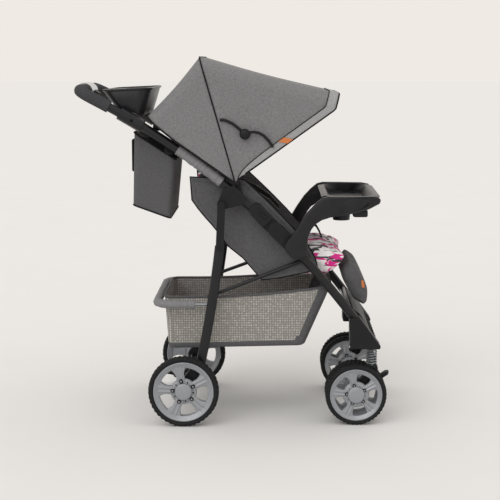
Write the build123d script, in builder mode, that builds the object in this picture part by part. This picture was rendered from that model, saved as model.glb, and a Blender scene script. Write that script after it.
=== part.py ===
from build123d import *
from math import cos, degrees, radians, sin
import os

os.makedirs("parts", exist_ok=True)

# A folding baby stroller with a one-piece curved side frame, swivelling twin front
# wheels, a fan-folding canopy, a child tray, a parent tray and a basket.
# Millimetres, +X forward, +Z up, the floor at Z = 0, the middle plane at Y = 0.
# The right side is -Y. A side view point is written (x, z).

# ---------------------------------------------------------------- driving dimensions
SIDE_RADIUS = 2050.0      # the handle arm and front leg lie on one large arc
JOINT_SLOPE = 44.0        # slope of that arc at the fold joint, degrees below level
FOLD_X = 116.0            # fold joint axis
FOLD_Z = 527.0
TUBE_RADIUS = 12.0
TUBE_WALL = 1.5
TUBE_Y = 190.0            # centre plane of each side tube
HANDLE_ARM = 595.0        # arc length from the fold joint to the handle's corner
HANDLE_CORNER = 45.0
FRONT_LEG = 365.0         # arc length from the fold joint to the end of the front leg
GRIP_RADIUS = 16.0
GRIP_START = 548.0

REAR_AXLE_X = -128.0
REAR_WHEEL_RADIUS = 95.0
REAR_WHEEL_WIDTH = 30.0
REAR_WHEEL_Y = 242.0
FRONT_AXLE_X = 335.0
FRONT_WHEEL_RADIUS = 82.5
FRONT_WHEEL_WIDTH = 26.0
FRONT_TWIN_OFFSET = 29.0  # from the swivel's centre plane to each twin wheel
CASTER_X = 378.0
CASTER_Y = 190.0
AXLE_RADIUS = 5.0

REAR_LEG_Y = 214.0
REAR_LEG_LONG = 26.0      # oval tube, the long way fore and aft
REAR_LEG_THICK = 14.0
LEG_PIVOT = (-26.0, 593.0)
LEG_TOP = (-31.0, 484.0)
LEG_MIDDLE = (-51.0, 338.0)
LEG_BOTTOM = (-90.0, 135.0)
SEAT_BAR_REAR = (-57.0, 345.0)
SEAT_BAR_FRONT_ARC = 118.0
SEAT_BAR_RADIUS = 5.0
SEAT_BAR_REAR_Y = 190.0
SEAT_BAR_FRONT_Y = 171.0

SEAT_HALF_WIDTH = 165.0
SIDE_CLOTH = 4.0
RECLINE_PIVOT = (92.0, 404.0)
FOOTREST_PIVOT = (324.0, 432.0)
CANOPY_PIVOT = (14.0, 655.0)
CANOPY_HALF_WIDTH = 209.0
CANOPY_WALL = 3.0
CANOPY_CORNER = 42.0
TRAY_ARM_Y = 221.0
TRAY_ARM_THICK = 20.0
TRAY_PIVOT = (184.0, 466.0)
BASKET_HALF_WIDTH = 168.0
BASKET_WALL = 3.0
BAG_HALF_WIDTH = 160.0

RUNNING_FIT = 0.05        # radial gap of a pin in its hole
SEATED_GAP = 0.3          # between two pieces that rest on or beside each other
SIDES = {"right": -1, "left": 1}


# ---------------------------------------------------------------- shared geometry
def arc_point(distance):
    """Side view point on the side arc; positive distances run up to the handle."""
    angle = radians(90 - JOINT_SLOPE) + distance / SIDE_RADIUS
    slope = radians(90 - JOINT_SLOPE)
    centre_x = FOLD_X - SIDE_RADIUS * cos(slope)
    centre_z = FOLD_Z - SIDE_RADIUS * sin(slope)
    return centre_x + SIDE_RADIUS * cos(angle), centre_z + SIDE_RADIUS * sin(angle)


def arc_offset(distance, rise):
    """Side view point beside the side arc, rise above it at right angles."""
    angle = radians(90 - JOINT_SLOPE) + distance / SIDE_RADIUS
    x, z = arc_point(distance)
    return x + rise * cos(angle), z + rise * sin(angle)


def on_side(point, y):
    return point[0], y, point[1]


def side_plane(y):
    """Side view plane at y: its x is +X, its y is +Z and it faces -Y."""
    return Plane.XZ.offset(-y)


def joint_plane(y):
    """Plane at the fold joint with its x down along the front leg."""
    slope = radians(JOINT_SLOPE)
    return Plane(origin=(FOLD_X, y, FOLD_Z), x_dir=(cos(slope), 0, -sin(slope)), z_dir=(0, -1, 0))


def arc_rod(start, end, radius, y):
    """Solid round rod along the side arc, used to bore what the tube passes through."""
    with BuildPart() as rod:
        with BuildLine() as path:
            ThreePointArc(
                on_side(arc_point(start), y),
                on_side(arc_point((start + end) / 2), y),
                on_side(arc_point(end), y),
            )
        with BuildSketch(Plane(origin=path.line @ 0, z_dir=path.line % 0)):
            Circle(radius)
        sweep(path=path.line)
    return rod.part


def pin_along_y(point, radius, y_from, y_to):
    """Solid pin square to the side view."""
    with BuildPart() as pin:
        with BuildSketch(side_plane(min(y_from, y_to))):
            with Locations(point):
                Circle(radius)
        extrude(amount=-abs(y_to - y_from))
    return pin.part


def keep(builder, label):
    builder.part.label = label
    export_step(builder.part, f"parts/{label}.step")


SEAT_BAR_FRONT = arc_point(-SEAT_BAR_FRONT_ARC)
BAR_EYE = SEAT_BAR_RADIUS + 3.5
BAR_PIN = 4.0

# ---------------------------------------------------------------- front legs
LEG_START = 27.0          # tube ends stand this far from the fold joint axis
for side_name, side in SIDES.items():
    bar_pin = pin_along_y(
        SEAT_BAR_FRONT, BAR_PIN,
        side * (TUBE_Y - TUBE_RADIUS + TUBE_WALL / 2), side * (SEAT_HALF_WIDTH + 1),
    )
    with BuildPart() as front_leg:
        with BuildLine() as leg_path:
            ThreePointArc(
                on_side(arc_point(-LEG_START), side * TUBE_Y),
                on_side(arc_point(-(LEG_START + FRONT_LEG) / 2), side * TUBE_Y),
                on_side(arc_point(-FRONT_LEG), side * TUBE_Y),
            )
        with BuildSketch(Plane(origin=leg_path.line @ 0, z_dir=leg_path.line % 0)):
            Circle(TUBE_RADIUS)
            Circle(TUBE_RADIUS - TUBE_WALL, mode=Mode.SUBTRACT)
        sweep(path=leg_path.line)
        add(bar_pin)
    keep(front_leg, f"front_leg_{side_name}")

# ---------------------------------------------------------------- cross tubes
CROSS_TUBE_RADIUS = 8.0
SEAT_TUBE_ARC = 190.0
FRONT_BAR_ARC = 300.0
CROSS_TUBE_HALF = TUBE_Y - TUBE_RADIUS - SEATED_GAP
for label, arc in (("seat_tube", SEAT_TUBE_ARC), ("front_crossbar", FRONT_BAR_ARC)):
    with BuildPart() as cross_tube:
        with BuildSketch(side_plane(0)):
            with Locations(arc_point(-arc)):
                Circle(CROSS_TUBE_RADIUS)
                Circle(CROSS_TUBE_RADIUS - TUBE_WALL, mode=Mode.SUBTRACT)
        extrude(amount=CROSS_TUBE_HALF, both=True)
    keep(cross_tube, label)

# ---------------------------------------------------------------- front brackets
STEM_RADIUS = 6.0
STEM_TOP = 232.0
BRACKET_BOTTOM = 207.0
BRACKET_OUTER = 226.0
BRACKET_INNER = 164.0
for side_name, side in SIDES.items():
    leg_room = arc_rod(-FRONT_LEG - 1, -LEG_START, TUBE_RADIUS + RUNNING_FIT, side * TUBE_Y)
    with BuildPart() as front_bracket:
        with BuildSketch(side_plane(side * (BRACKET_OUTER + BRACKET_INNER) / 2)) as profile:
            with BuildLine():
                Polyline(
                    (316, 290), (345, 290), (CASTER_X + 22, 214),
                    (CASTER_X + 20, BRACKET_BOTTOM), (318, BRACKET_BOTTOM), close=True,
                )
            make_face()
            fillet(profile.vertices(), 4)
        extrude(amount=(BRACKET_OUTER - BRACKET_INNER) / 2, both=True)
        fillet(front_bracket.faces().filter_by(Axis.Y).edges(), 3)
        add(leg_room, mode=Mode.SUBTRACT)
        with BuildSketch(Plane.XY.offset(BRACKET_BOTTOM)):
            with Locations((CASTER_X, side * CASTER_Y)):
                Circle(STEM_RADIUS + RUNNING_FIT)
        extrude(amount=STEM_TOP - BRACKET_BOTTOM + 1, mode=Mode.SUBTRACT)
    keep(front_bracket, f"front_bracket_{side_name}")

# ---------------------------------------------------------------- footplate
FOOTPLATE_THICK = 5.0
RIB_COUNT = 7
RIB_HEIGHT = 2.0
plate_start = arc_point(-FRONT_BAR_ARC)[0] + CROSS_TUBE_RADIUS + FOOTPLATE_THICK / 2 + SEATED_GAP
plate_curve = [(plate_start, 304), (345, 290), (370, 250), (396, 205)]
with BuildPart() as footplate:
    with BuildSketch(side_plane(0)) as profile:
        with BuildLine():
            top = Polyline(*plate_curve)
            offset(amount=FOOTPLATE_THICK / 2, side=Side.BOTH, closed=True)
        make_face()
    extrude(amount=BRACKET_INNER - SEATED_GAP, both=True)
    rib_plane = Plane(origin=(383, 0, 227.5), x_dir=(0, 1, 0), z_dir=(45, 0, 26))
    with BuildSketch(rib_plane):
        with GridLocations(38, 1, RIB_COUNT, 1):
            SlotOverall(40, 8, rotation=90)
    extrude(amount=FOOTPLATE_THICK / 2 + RIB_HEIGHT)
keep(footplate, "footplate")

# ---------------------------------------------------------------- fold joint
JOINT_THICK = 34.0        # across both cheeks
KNUCKLE_RADIUS = 18.5
CHEEK_RADIUS = 19.0
JOINT_PIN = 5.0
JOINT_BLOCK_START = 25.0
JOINT_BLOCK_END = 82.0
SLOT_WIDTH = 22.0
JOINT_Y = TUBE_Y + 1.0

with BuildPart() as joint_lower:
    with BuildSketch(joint_plane(-JOINT_Y)) as profile:
        with BuildLine():
            Polyline(
                (0, -CHEEK_RADIUS), (62, -CHEEK_RADIUS), (JOINT_BLOCK_END, -13),
                (JOINT_BLOCK_END, 13), (62, CHEEK_RADIUS), (0, CHEEK_RADIUS), close=True,
            )
        make_face()
        Circle(CHEEK_RADIUS)
    extrude(amount=JOINT_THICK / 2, both=True)
    fillet(joint_lower.faces().filter_by(Axis.Y).edges(), 2.5)
    with BuildSketch(joint_plane(-JOINT_Y)):
        with Locations((-JOINT_BLOCK_START / 2, 0)):
            Rectangle(3 * JOINT_BLOCK_START, 4 * CHEEK_RADIUS)
    extrude(amount=SLOT_WIDTH / 2, both=True, mode=Mode.SUBTRACT)
    with BuildSketch(joint_plane(-JOINT_Y)):
        Circle(JOINT_PIN)
    extrude(amount=JOINT_THICK / 2 + 1.5, both=True)
    with BuildSketch(joint_plane(-JOINT_Y - JOINT_THICK / 2)):
        with Locations((34, 6), (52, 9), (50, -9)):
            Circle(4)
    extrude(amount=1.5)
    add(arc_rod(-JOINT_BLOCK_END - 5, -LEG_START + 0.5, TUBE_RADIUS + RUNNING_FIT, -TUBE_Y),
        mode=Mode.SUBTRACT)
    mirror(about=Plane.XZ)
keep(joint_lower, "fold_joint_lower")

with BuildPart() as joint_upper:
    with BuildSketch(joint_plane(-JOINT_Y)) as profile:
        with BuildLine():
            Polyline(
                (-JOINT_BLOCK_START, -CHEEK_RADIUS), (-70, -16), (-88, -11),
                (-88, 14), (-74, 21), (-JOINT_BLOCK_START, CHEEK_RADIUS), close=True,
            )
        make_face()
        fillet(profile.vertices().group_by(Axis.X)[0], 4)
    extrude(amount=JOINT_THICK / 2, both=True)
    fillet(joint_upper.faces().filter_by(Axis.Y).edges(), 2.5)
    with BuildSketch(joint_plane(-JOINT_Y)):
        Circle(KNUCKLE_RADIUS)
        with Locations((-JOINT_BLOCK_START / 2, 0)):
            Rectangle(JOINT_BLOCK_START + 2, 2 * KNUCKLE_RADIUS)
    extrude(amount=SLOT_WIDTH / 2 - SEATED_GAP, both=True)
    with BuildSketch(joint_plane(-JOINT_Y)):
        Circle(JOINT_PIN + RUNNING_FIT)
    extrude(amount=JOINT_THICK, both=True, mode=Mode.SUBTRACT)
    with BuildSketch(joint_plane(-JOINT_Y - JOINT_THICK / 2)):
        with Locations((-52, 6)):
            SlotOverall(34, 13)
    extrude(amount=-2.0, mode=Mode.SUBTRACT)
    add(arc_rod(LEG_START - 0.5, JOINT_BLOCK_END + 15, TUBE_RADIUS + RUNNING_FIT, -TUBE_Y),
        mode=Mode.SUBTRACT)
    mirror(about=Plane.XZ)
keep(joint_upper, "fold_joint_upper")

# Latch catches: each slides up in its housing's recess when the release is squeezed.
LATCH_Y = JOINT_Y + JOINT_THICK / 2 - 2 + SEATED_GAP
with BuildPart() as latches:
    with BuildSketch(joint_plane(-LATCH_Y)):
        with Locations((-47, 6)):
            SlotOverall(18, 8)
    extrude(amount=3.2)
    mirror(about=Plane.XZ)
keep(latches, "fold_latches")

# ---------------------------------------------------------------- handle
handle_end = arc_point(HANDLE_ARM)
end_angle = radians(90 - JOINT_SLOPE) + HANDLE_ARM / SIDE_RADIUS
end_direction = Vector(-sin(end_angle), 0, cos(end_angle))
CORNER_SHARE = sin(radians(45))


def handle_corner(side, share_along, share_across):
    """Point of the rounded corner between a handle arm and the push bar."""
    start = Vector(*on_side(handle_end, side * TUBE_Y))
    inward = Vector(0, -side, 0)
    return start + end_direction * (HANDLE_CORNER * share_along) + inward * (
        HANDLE_CORNER * share_across
    )


def handle_path(start, bar_half):
    """Edges of one side: the arm from start, the corner and the bar up to bar_half."""
    arm = ThreePointArc(
        on_side(arc_point(start), -TUBE_Y),
        on_side(arc_point((start + HANDLE_ARM) / 2), -TUBE_Y),
        on_side(handle_end, -TUBE_Y),
    )
    corner = ThreePointArc(
        arm @ 1,
        handle_corner(-1, CORNER_SHARE, 1 - CORNER_SHARE),
        handle_corner(-1, 1, 1),
    )
    bar_start = handle_corner(-1, 1, 1)
    Line(corner @ 1, (bar_start.X, -bar_half, bar_start.Z))


with BuildPart() as handle_tube:
    with BuildLine() as bar_path:
        handle_path(LEG_START, 0)
    with BuildSketch(Plane(origin=bar_path.line @ 0, z_dir=bar_path.line % 0)):
        Circle(TUBE_RADIUS)
        Circle(TUBE_RADIUS - TUBE_WALL, mode=Mode.SUBTRACT)
    sweep(path=bar_path.line)
    mirror(about=Plane.XZ)
keep(handle_tube, "handle_tube")

RELEASE_HALF = 58.0
with BuildPart() as grips:
    with BuildLine() as grip_path:
        handle_path(GRIP_START, RELEASE_HALF + 2)
    with BuildSketch(Plane(origin=grip_path.line @ 0, z_dir=grip_path.line % 0)):
        Circle(GRIP_RADIUS)
        Circle(TUBE_RADIUS + RUNNING_FIT, mode=Mode.SUBTRACT)
    sweep(path=grip_path.line)
keep(grips, "grip_right")
with BuildPart() as grip_left:
    add(grips.part)
    mirror(about=Plane.XZ, mode=Mode.REPLACE)
keep(grip_left, "grip_left")

bar_centre = handle_corner(-1, 1, 1)
RELEASE_LONG = 44.0
RELEASE_HIGH = 36.0
BUTTON_TRAVEL = 8.0
bar_plane = Plane(
    origin=(bar_centre.X, 0, bar_centre.Z),
    x_dir=(end_direction.X, 0, end_direction.Z),
    z_dir=(0, -1, 0),
)
with BuildPart() as release_housing:
    with BuildSketch(bar_plane):
        Ellipse(RELEASE_LONG / 2, RELEASE_HIGH / 2)
        Circle(TUBE_RADIUS + RUNNING_FIT, mode=Mode.SUBTRACT)
    extrude(amount=RELEASE_HALF, both=True)
    with BuildSketch(bar_plane):
        with Locations((-RELEASE_LONG / 2, 0)):
            Rectangle(19, 17)
    extrude(amount=26, both=True, mode=Mode.SUBTRACT)
keep(release_housing, "release_housing")

with BuildPart() as release_button:
    with BuildSketch(bar_plane):
        with Locations((-RELEASE_LONG / 2 - 6.5, 0)):
            RectangleRounded(13, 15, 3)
    extrude(amount=25, both=True)
keep(release_button, "release_button")

# ---------------------------------------------------------------- tube sleeves
SLEEVE_START = 190.0
SLEEVE_END = 335.0
SLEEVE_RADIUS = 14.5
with BuildPart() as sleeves:
    add(arc_rod(SLEEVE_START, SLEEVE_END, SLEEVE_RADIUS, -TUBE_Y))
    add(arc_rod(SLEEVE_START - 1, SLEEVE_END + 1, TUBE_RADIUS + RUNNING_FIT, -TUBE_Y),
        mode=Mode.SUBTRACT)
    mirror(about=Plane.XZ)
keep(sleeves, "tube_sleeves")

# ---------------------------------------------------------------- parent tray
TRAY_CLAMP_START = 446.0
TRAY_CLAMP_END = 516.0
TRAY_CLAMP_RADIUS = 18.0
PARENT_TRAY_TOP = 902.0
PARENT_CUP_RADIUS = 36.0
PARENT_CUP_DEPTH = 44.0
PARENT_CUP_X = -277.0
PARENT_CUP_Y = 95.0
parent_tray_half = TUBE_Y - GRIP_RADIUS - 0.5
with BuildPart() as parent_tray:
    with BuildSketch(side_plane(0)) as profile:
        with BuildLine():
            Polyline(
                (-352, PARENT_TRAY_TOP), (-340, 868), (-306, 845), (-256, 814),
                (-236, 830), (-220, 868), (-214, PARENT_TRAY_TOP), close=True,
            )
        make_face()
        fillet(profile.vertices().group_by(Axis.Y)[:-1], 8)
    extrude(amount=parent_tray_half, both=True)
    for side in SIDES.values():
        add(arc_rod(TRAY_CLAMP_START, TRAY_CLAMP_END, TRAY_CLAMP_RADIUS, side * TUBE_Y))
    with BuildSketch(Plane.XY.offset(PARENT_TRAY_TOP)):
        with Locations((PARENT_CUP_X, -PARENT_CUP_Y), (PARENT_CUP_X, PARENT_CUP_Y)):
            Circle(PARENT_CUP_RADIUS)
    extrude(amount=-PARENT_CUP_DEPTH, mode=Mode.SUBTRACT)
    with BuildSketch(Plane.XY.offset(PARENT_TRAY_TOP)):
        with Locations((PARENT_CUP_X - 4, 0)):
            RectangleRounded(96, 92, 12)
    extrude(amount=-22, mode=Mode.SUBTRACT)
    for side in SIDES.values():
        add(arc_rod(TRAY_CLAMP_START - 60, TRAY_CLAMP_END + 60,
                    TUBE_RADIUS + RUNNING_FIT, side * TUBE_Y), mode=Mode.SUBTRACT)
keep(parent_tray, "parent_tray")

# ---------------------------------------------------------------- storage bag
BAG_TAB_ARCS = (355.0, 430.0)
with BuildPart() as bag:
    with BuildSketch(side_plane(0)) as profile:
        with BuildLine():
            Polyline((-262, 782), (-150, 708), (-165, 548), (-268, 584), close=True)
        make_face()
        fillet(profile.vertices(), 8)
    extrude(amount=BAG_HALF_WIDTH, both=True)
    offset(amount=-BASKET_WALL, openings=bag.faces().sort_by(Axis.Z)[-1:])
    for arc in BAG_TAB_ARCS:
        for side in SIDES.values():
            with BuildSketch(side_plane(side * (BAG_HALF_WIDTH - 2))):
                with BuildLine():
                    Polyline(
                        arc_offset(arc - 9, 5), arc_offset(arc + 9, 5),
                        arc_offset(arc + 9, -62), arc_offset(arc - 9, -62), close=True,
                    )
                make_face()
            extrude(amount=-side * (TUBE_Y - TUBE_RADIUS - SEATED_GAP - BAG_HALF_WIDTH + 2))
keep(bag, "storage_bag")

# ---------------------------------------------------------------- rear leg brackets
BRACKET_PLATE = 3.5
LEG_PIN = 5.0
LINK_THICK = 3.0
plate_inner = TUBE_Y + TUBE_RADIUS + SEATED_GAP
plate_outer = plate_inner + BRACKET_PLATE
link_inner = REAR_LEG_Y + REAR_LEG_THICK / 2 + SEATED_GAP
link_outer = link_inner + LINK_THICK
with BuildPart() as leg_brackets:
    with BuildSketch(side_plane(-(plate_inner + plate_outer) / 2)) as profile:
        with BuildLine():
            Polyline(
                arc_offset(110, 13), arc_offset(160, 13), arc_offset(176, -8),
                (LEG_PIVOT[0] - 13, LEG_PIVOT[1] + 2), (LEG_PIVOT[0] - 8, LEG_PIVOT[1] - 12),
                (LEG_PIVOT[0] + 9, LEG_PIVOT[1] - 11), arc_offset(110, -13), close=True,
            )
        make_face()
        fillet(profile.vertices(), 3)
    extrude(amount=BRACKET_PLATE / 2, both=True)
    add(pin_along_y(LEG_PIVOT, LEG_PIN, -plate_inner, -link_outer - 1))
    add(pin_along_y(LEG_PIVOT, LEG_PIN + 3, -link_outer - SEATED_GAP, -link_outer - 2))
    with BuildSketch(side_plane(-plate_outer)):
        with Locations(arc_offset(126, 1), arc_offset(152, 1)):
            Circle(4.5)
    extrude(amount=1.6)
    mirror(about=Plane.XZ)
keep(leg_brackets, "leg_brackets")

# ---------------------------------------------------------------- rear legs
LINK_HALF_WIDTH = 10.5
LINK_RIVETS = (34.0, 0.0)     # above the link's lower end
link_end = (LEG_TOP[0], LEG_TOP[1] - 4)
link_length = ((link_end[0] - LEG_PIVOT[0]) ** 2 + (link_end[1] - LEG_PIVOT[1]) ** 2) ** 0.5


def link_plane(y):
    """Plane at the rear leg's pivot with its x down along the link."""
    run = (link_end[0] - LEG_PIVOT[0], 0, link_end[1] - LEG_PIVOT[1])
    return Plane(origin=on_side(LEG_PIVOT, y), x_dir=run, z_dir=(0, -1, 0))


def leg_rod(side, long, thick):
    """Solid oval rod along the rear leg's line."""
    with BuildPart() as rod:
        with BuildLine() as path:
            ThreePointArc(
                on_side(LEG_TOP, side * REAR_LEG_Y),
                on_side(LEG_MIDDLE, side * REAR_LEG_Y),
                on_side(LEG_BOTTOM, side * REAR_LEG_Y),
            )
        with BuildSketch(Plane(origin=path.line @ 0, x_dir=(0, 1, 0), z_dir=path.line % 0)):
            Ellipse(thick / 2, long / 2)
        sweep(path=path.line)
    return rod.part


with BuildPart() as leg_links:
    with BuildSketch(link_plane(-link_inner)):
        with Locations((link_length / 2, 0)):
            SlotCenterToCenter(link_length, 2 * LINK_HALF_WIDTH)
    extrude(amount=LINK_THICK)
    with BuildSketch(link_plane(-plate_outer - SEATED_GAP)):
        Circle(LINK_HALF_WIDTH - 1)
    extrude(amount=link_inner - plate_outer)
    with BuildSketch(link_plane(-plate_outer)):
        Circle(LEG_PIN + RUNNING_FIT)
    extrude(amount=link_outer, mode=Mode.SUBTRACT)
    for height in LINK_RIVETS:
        with BuildSketch(link_plane(-link_outer)):
            with Locations((link_length - height, 0)):
                Circle(4)
        extrude(amount=1.4)
    mirror(about=Plane.XZ)
keep(leg_links, "leg_links")

for side_name, side in SIDES.items():
    with BuildPart() as rear_leg:
        add(leg_rod(side, REAR_LEG_LONG, REAR_LEG_THICK))
        add(leg_rod(side, REAR_LEG_LONG - 2 * TUBE_WALL, REAR_LEG_THICK - 2 * TUBE_WALL),
            mode=Mode.SUBTRACT)
    keep(rear_leg, f"rear_leg_{side_name}")

# ---------------------------------------------------------------- rear axle and boots
AXLE_TUBE_RADIUS = 9.0
BOOT_INNER = 199.0
BOOT_OUTER = 223.0
with BuildPart() as rear_axle:
    with BuildSketch(side_plane(0)):
        with Locations((REAR_AXLE_X, REAR_WHEEL_RADIUS)):
            Circle(AXLE_RADIUS)
    extrude(amount=REAR_WHEEL_Y + REAR_WHEEL_WIDTH / 2 - 6, both=True)
    with BuildSketch(side_plane(0)):
        with Locations((REAR_AXLE_X, REAR_WHEEL_RADIUS)):
            Circle(AXLE_TUBE_RADIUS)
    extrude(amount=BOOT_INNER - SEATED_GAP, both=True)
keep(rear_axle, "rear_axle")

with BuildPart() as boots:
    with BuildSketch(side_plane(-(BOOT_INNER + BOOT_OUTER) / 2)) as profile:
        with BuildLine():
            Polyline(
                (REAR_AXLE_X - 15, REAR_WHEEL_RADIUS - 8), (REAR_AXLE_X + 6, REAR_WHEEL_RADIUS - 16),
                (LEG_BOTTOM[0] + 24, LEG_BOTTOM[1] + 8), (LEG_BOTTOM[0] + 20, LEG_BOTTOM[1] + 30),
                (LEG_BOTTOM[0] - 16, LEG_BOTTOM[1] + 24), (REAR_AXLE_X - 16, REAR_WHEEL_RADIUS + 8),
                close=True,
            )
        make_face()
        fillet(profile.vertices(), 6)
    extrude(amount=(BOOT_OUTER - BOOT_INNER) / 2, both=True)
    fillet(boots.faces().filter_by(Axis.Y).edges(), 2)
    add(leg_rod(-1, REAR_LEG_LONG + 2 * RUNNING_FIT, REAR_LEG_THICK + 2 * RUNNING_FIT),
        mode=Mode.SUBTRACT)
    with BuildSketch(side_plane(-BOOT_INNER + 1)):
        with Locations((REAR_AXLE_X, REAR_WHEEL_RADIUS)):
            Circle(AXLE_RADIUS + RUNNING_FIT)
    extrude(amount=BOOT_OUTER - BOOT_INNER + 2, mode=Mode.SUBTRACT)
    mirror(about=Plane.XZ)
keep(boots, "rear_wheel_boots")

# ---------------------------------------------------------------- brake pedal
with BuildPart() as brake_pedal:
    with BuildSketch(side_plane(0)) as profile:
        with BuildLine():
            Polyline(
                (REAR_AXLE_X + 4, REAR_WHEEL_RADIUS + 12), (REAR_AXLE_X - 66, REAR_WHEEL_RADIUS + 8),
                (REAR_AXLE_X - 72, REAR_WHEEL_RADIUS + 2), (REAR_AXLE_X - 10, REAR_WHEEL_RADIUS - 8),
                close=True,
            )
        make_face()
        with Locations((REAR_AXLE_X, REAR_WHEEL_RADIUS)):
            Circle(AXLE_TUBE_RADIUS + 5)
            Circle(AXLE_TUBE_RADIUS + RUNNING_FIT, mode=Mode.SUBTRACT)
    extrude(amount=42, both=True)
keep(brake_pedal, "brake_pedal")

# ---------------------------------------------------------------- wheels
SPOKES = 5
RIM_SHARE = 0.853         # rim radius over tyre radius
RIM_WALL = 8.0
HUB_RADIUS = 34.0
HUB_BOSS = 14.0
SPOKE_THICK = 10.0
SPOKE_TURN = -99.0        # one spoke points nearly straight down


def wheel_plane(x, y, z):
    """Side view plane with its origin on the wheel's centre."""
    return Plane(origin=(x, y, z), x_dir=(1, 0, 0), z_dir=(0, -1, 0))


def tyre(x, z, y, radius, width):
    """Tyre ring with rounded shoulders around its rim."""
    with BuildPart() as ring:
        with BuildSketch(wheel_plane(x, y, z)):
            Circle(radius)
        extrude(amount=width / 2, both=True)
        fillet(ring.edges().filter_by(GeomType.CIRCLE), width * 0.3)
        with BuildSketch(wheel_plane(x, y, z)):
            Circle(radius * RIM_SHARE + SEATED_GAP)
        extrude(amount=width, both=True, mode=Mode.SUBTRACT)
    return ring.part


def rim(x, z, y, radius, width, outward):
    """Five-spoke wheel with a hub closed on its outward side and a blind axle hole."""
    outer = radius * RIM_SHARE
    near = HUB_RADIUS * 0.85
    far = outer - RIM_WALL / 2
    hub_depth = width / 2 + 2
    with BuildPart() as wheel:
        with BuildSketch(wheel_plane(x, y, z)):
            Circle(outer)
            Circle(outer - RIM_WALL, mode=Mode.SUBTRACT)
        extrude(amount=width / 2 - 1, both=True)
        with BuildSketch(wheel_plane(x, y, z)):
            Circle(HUB_RADIUS)
            with PolarLocations(0, SPOKES, start_angle=SPOKE_TURN):
                Polygon((near, 9), (far, 14), (far, -14), (near, -9), align=None)
        extrude(amount=SPOKE_THICK / 2, both=True)
        with BuildSketch(wheel_plane(x, y, z)):
            Circle(HUB_BOSS)
        extrude(amount=hub_depth, both=True)
        with BuildSketch(wheel_plane(x, y + outward * (hub_depth - 4), z)):
            Circle(AXLE_RADIUS + RUNNING_FIT)
        extrude(amount=outward * 2 * hub_depth, mode=Mode.SUBTRACT)
    return wheel.part


for side_name, side in SIDES.items():
    with BuildPart() as rear_tyre:
        add(tyre(REAR_AXLE_X, REAR_WHEEL_RADIUS, side * REAR_WHEEL_Y,
                 REAR_WHEEL_RADIUS, REAR_WHEEL_WIDTH))
    keep(rear_tyre, f"rear_tyre_{side_name}")
    with BuildPart() as rear_rim:
        add(rim(REAR_AXLE_X, REAR_WHEEL_RADIUS, side * REAR_WHEEL_Y,
                REAR_WHEEL_RADIUS, REAR_WHEEL_WIDTH, side))
    keep(rear_rim, f"rear_rim_{side_name}")
    with BuildPart() as front_tyres:
        for twin in (-1, 1):
            add(tyre(FRONT_AXLE_X, FRONT_WHEEL_RADIUS, side * CASTER_Y + twin * FRONT_TWIN_OFFSET,
                     FRONT_WHEEL_RADIUS, FRONT_WHEEL_WIDTH))
    keep(front_tyres, f"front_tyres_{side_name}")
    with BuildPart() as front_rims:
        for twin in (-1, 1):
            add(rim(FRONT_AXLE_X, FRONT_WHEEL_RADIUS, side * CASTER_Y + twin * FRONT_TWIN_OFFSET,
                    FRONT_WHEEL_RADIUS, FRONT_WHEEL_WIDTH, twin))
    keep(front_rims, f"front_rims_{side_name}")

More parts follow.
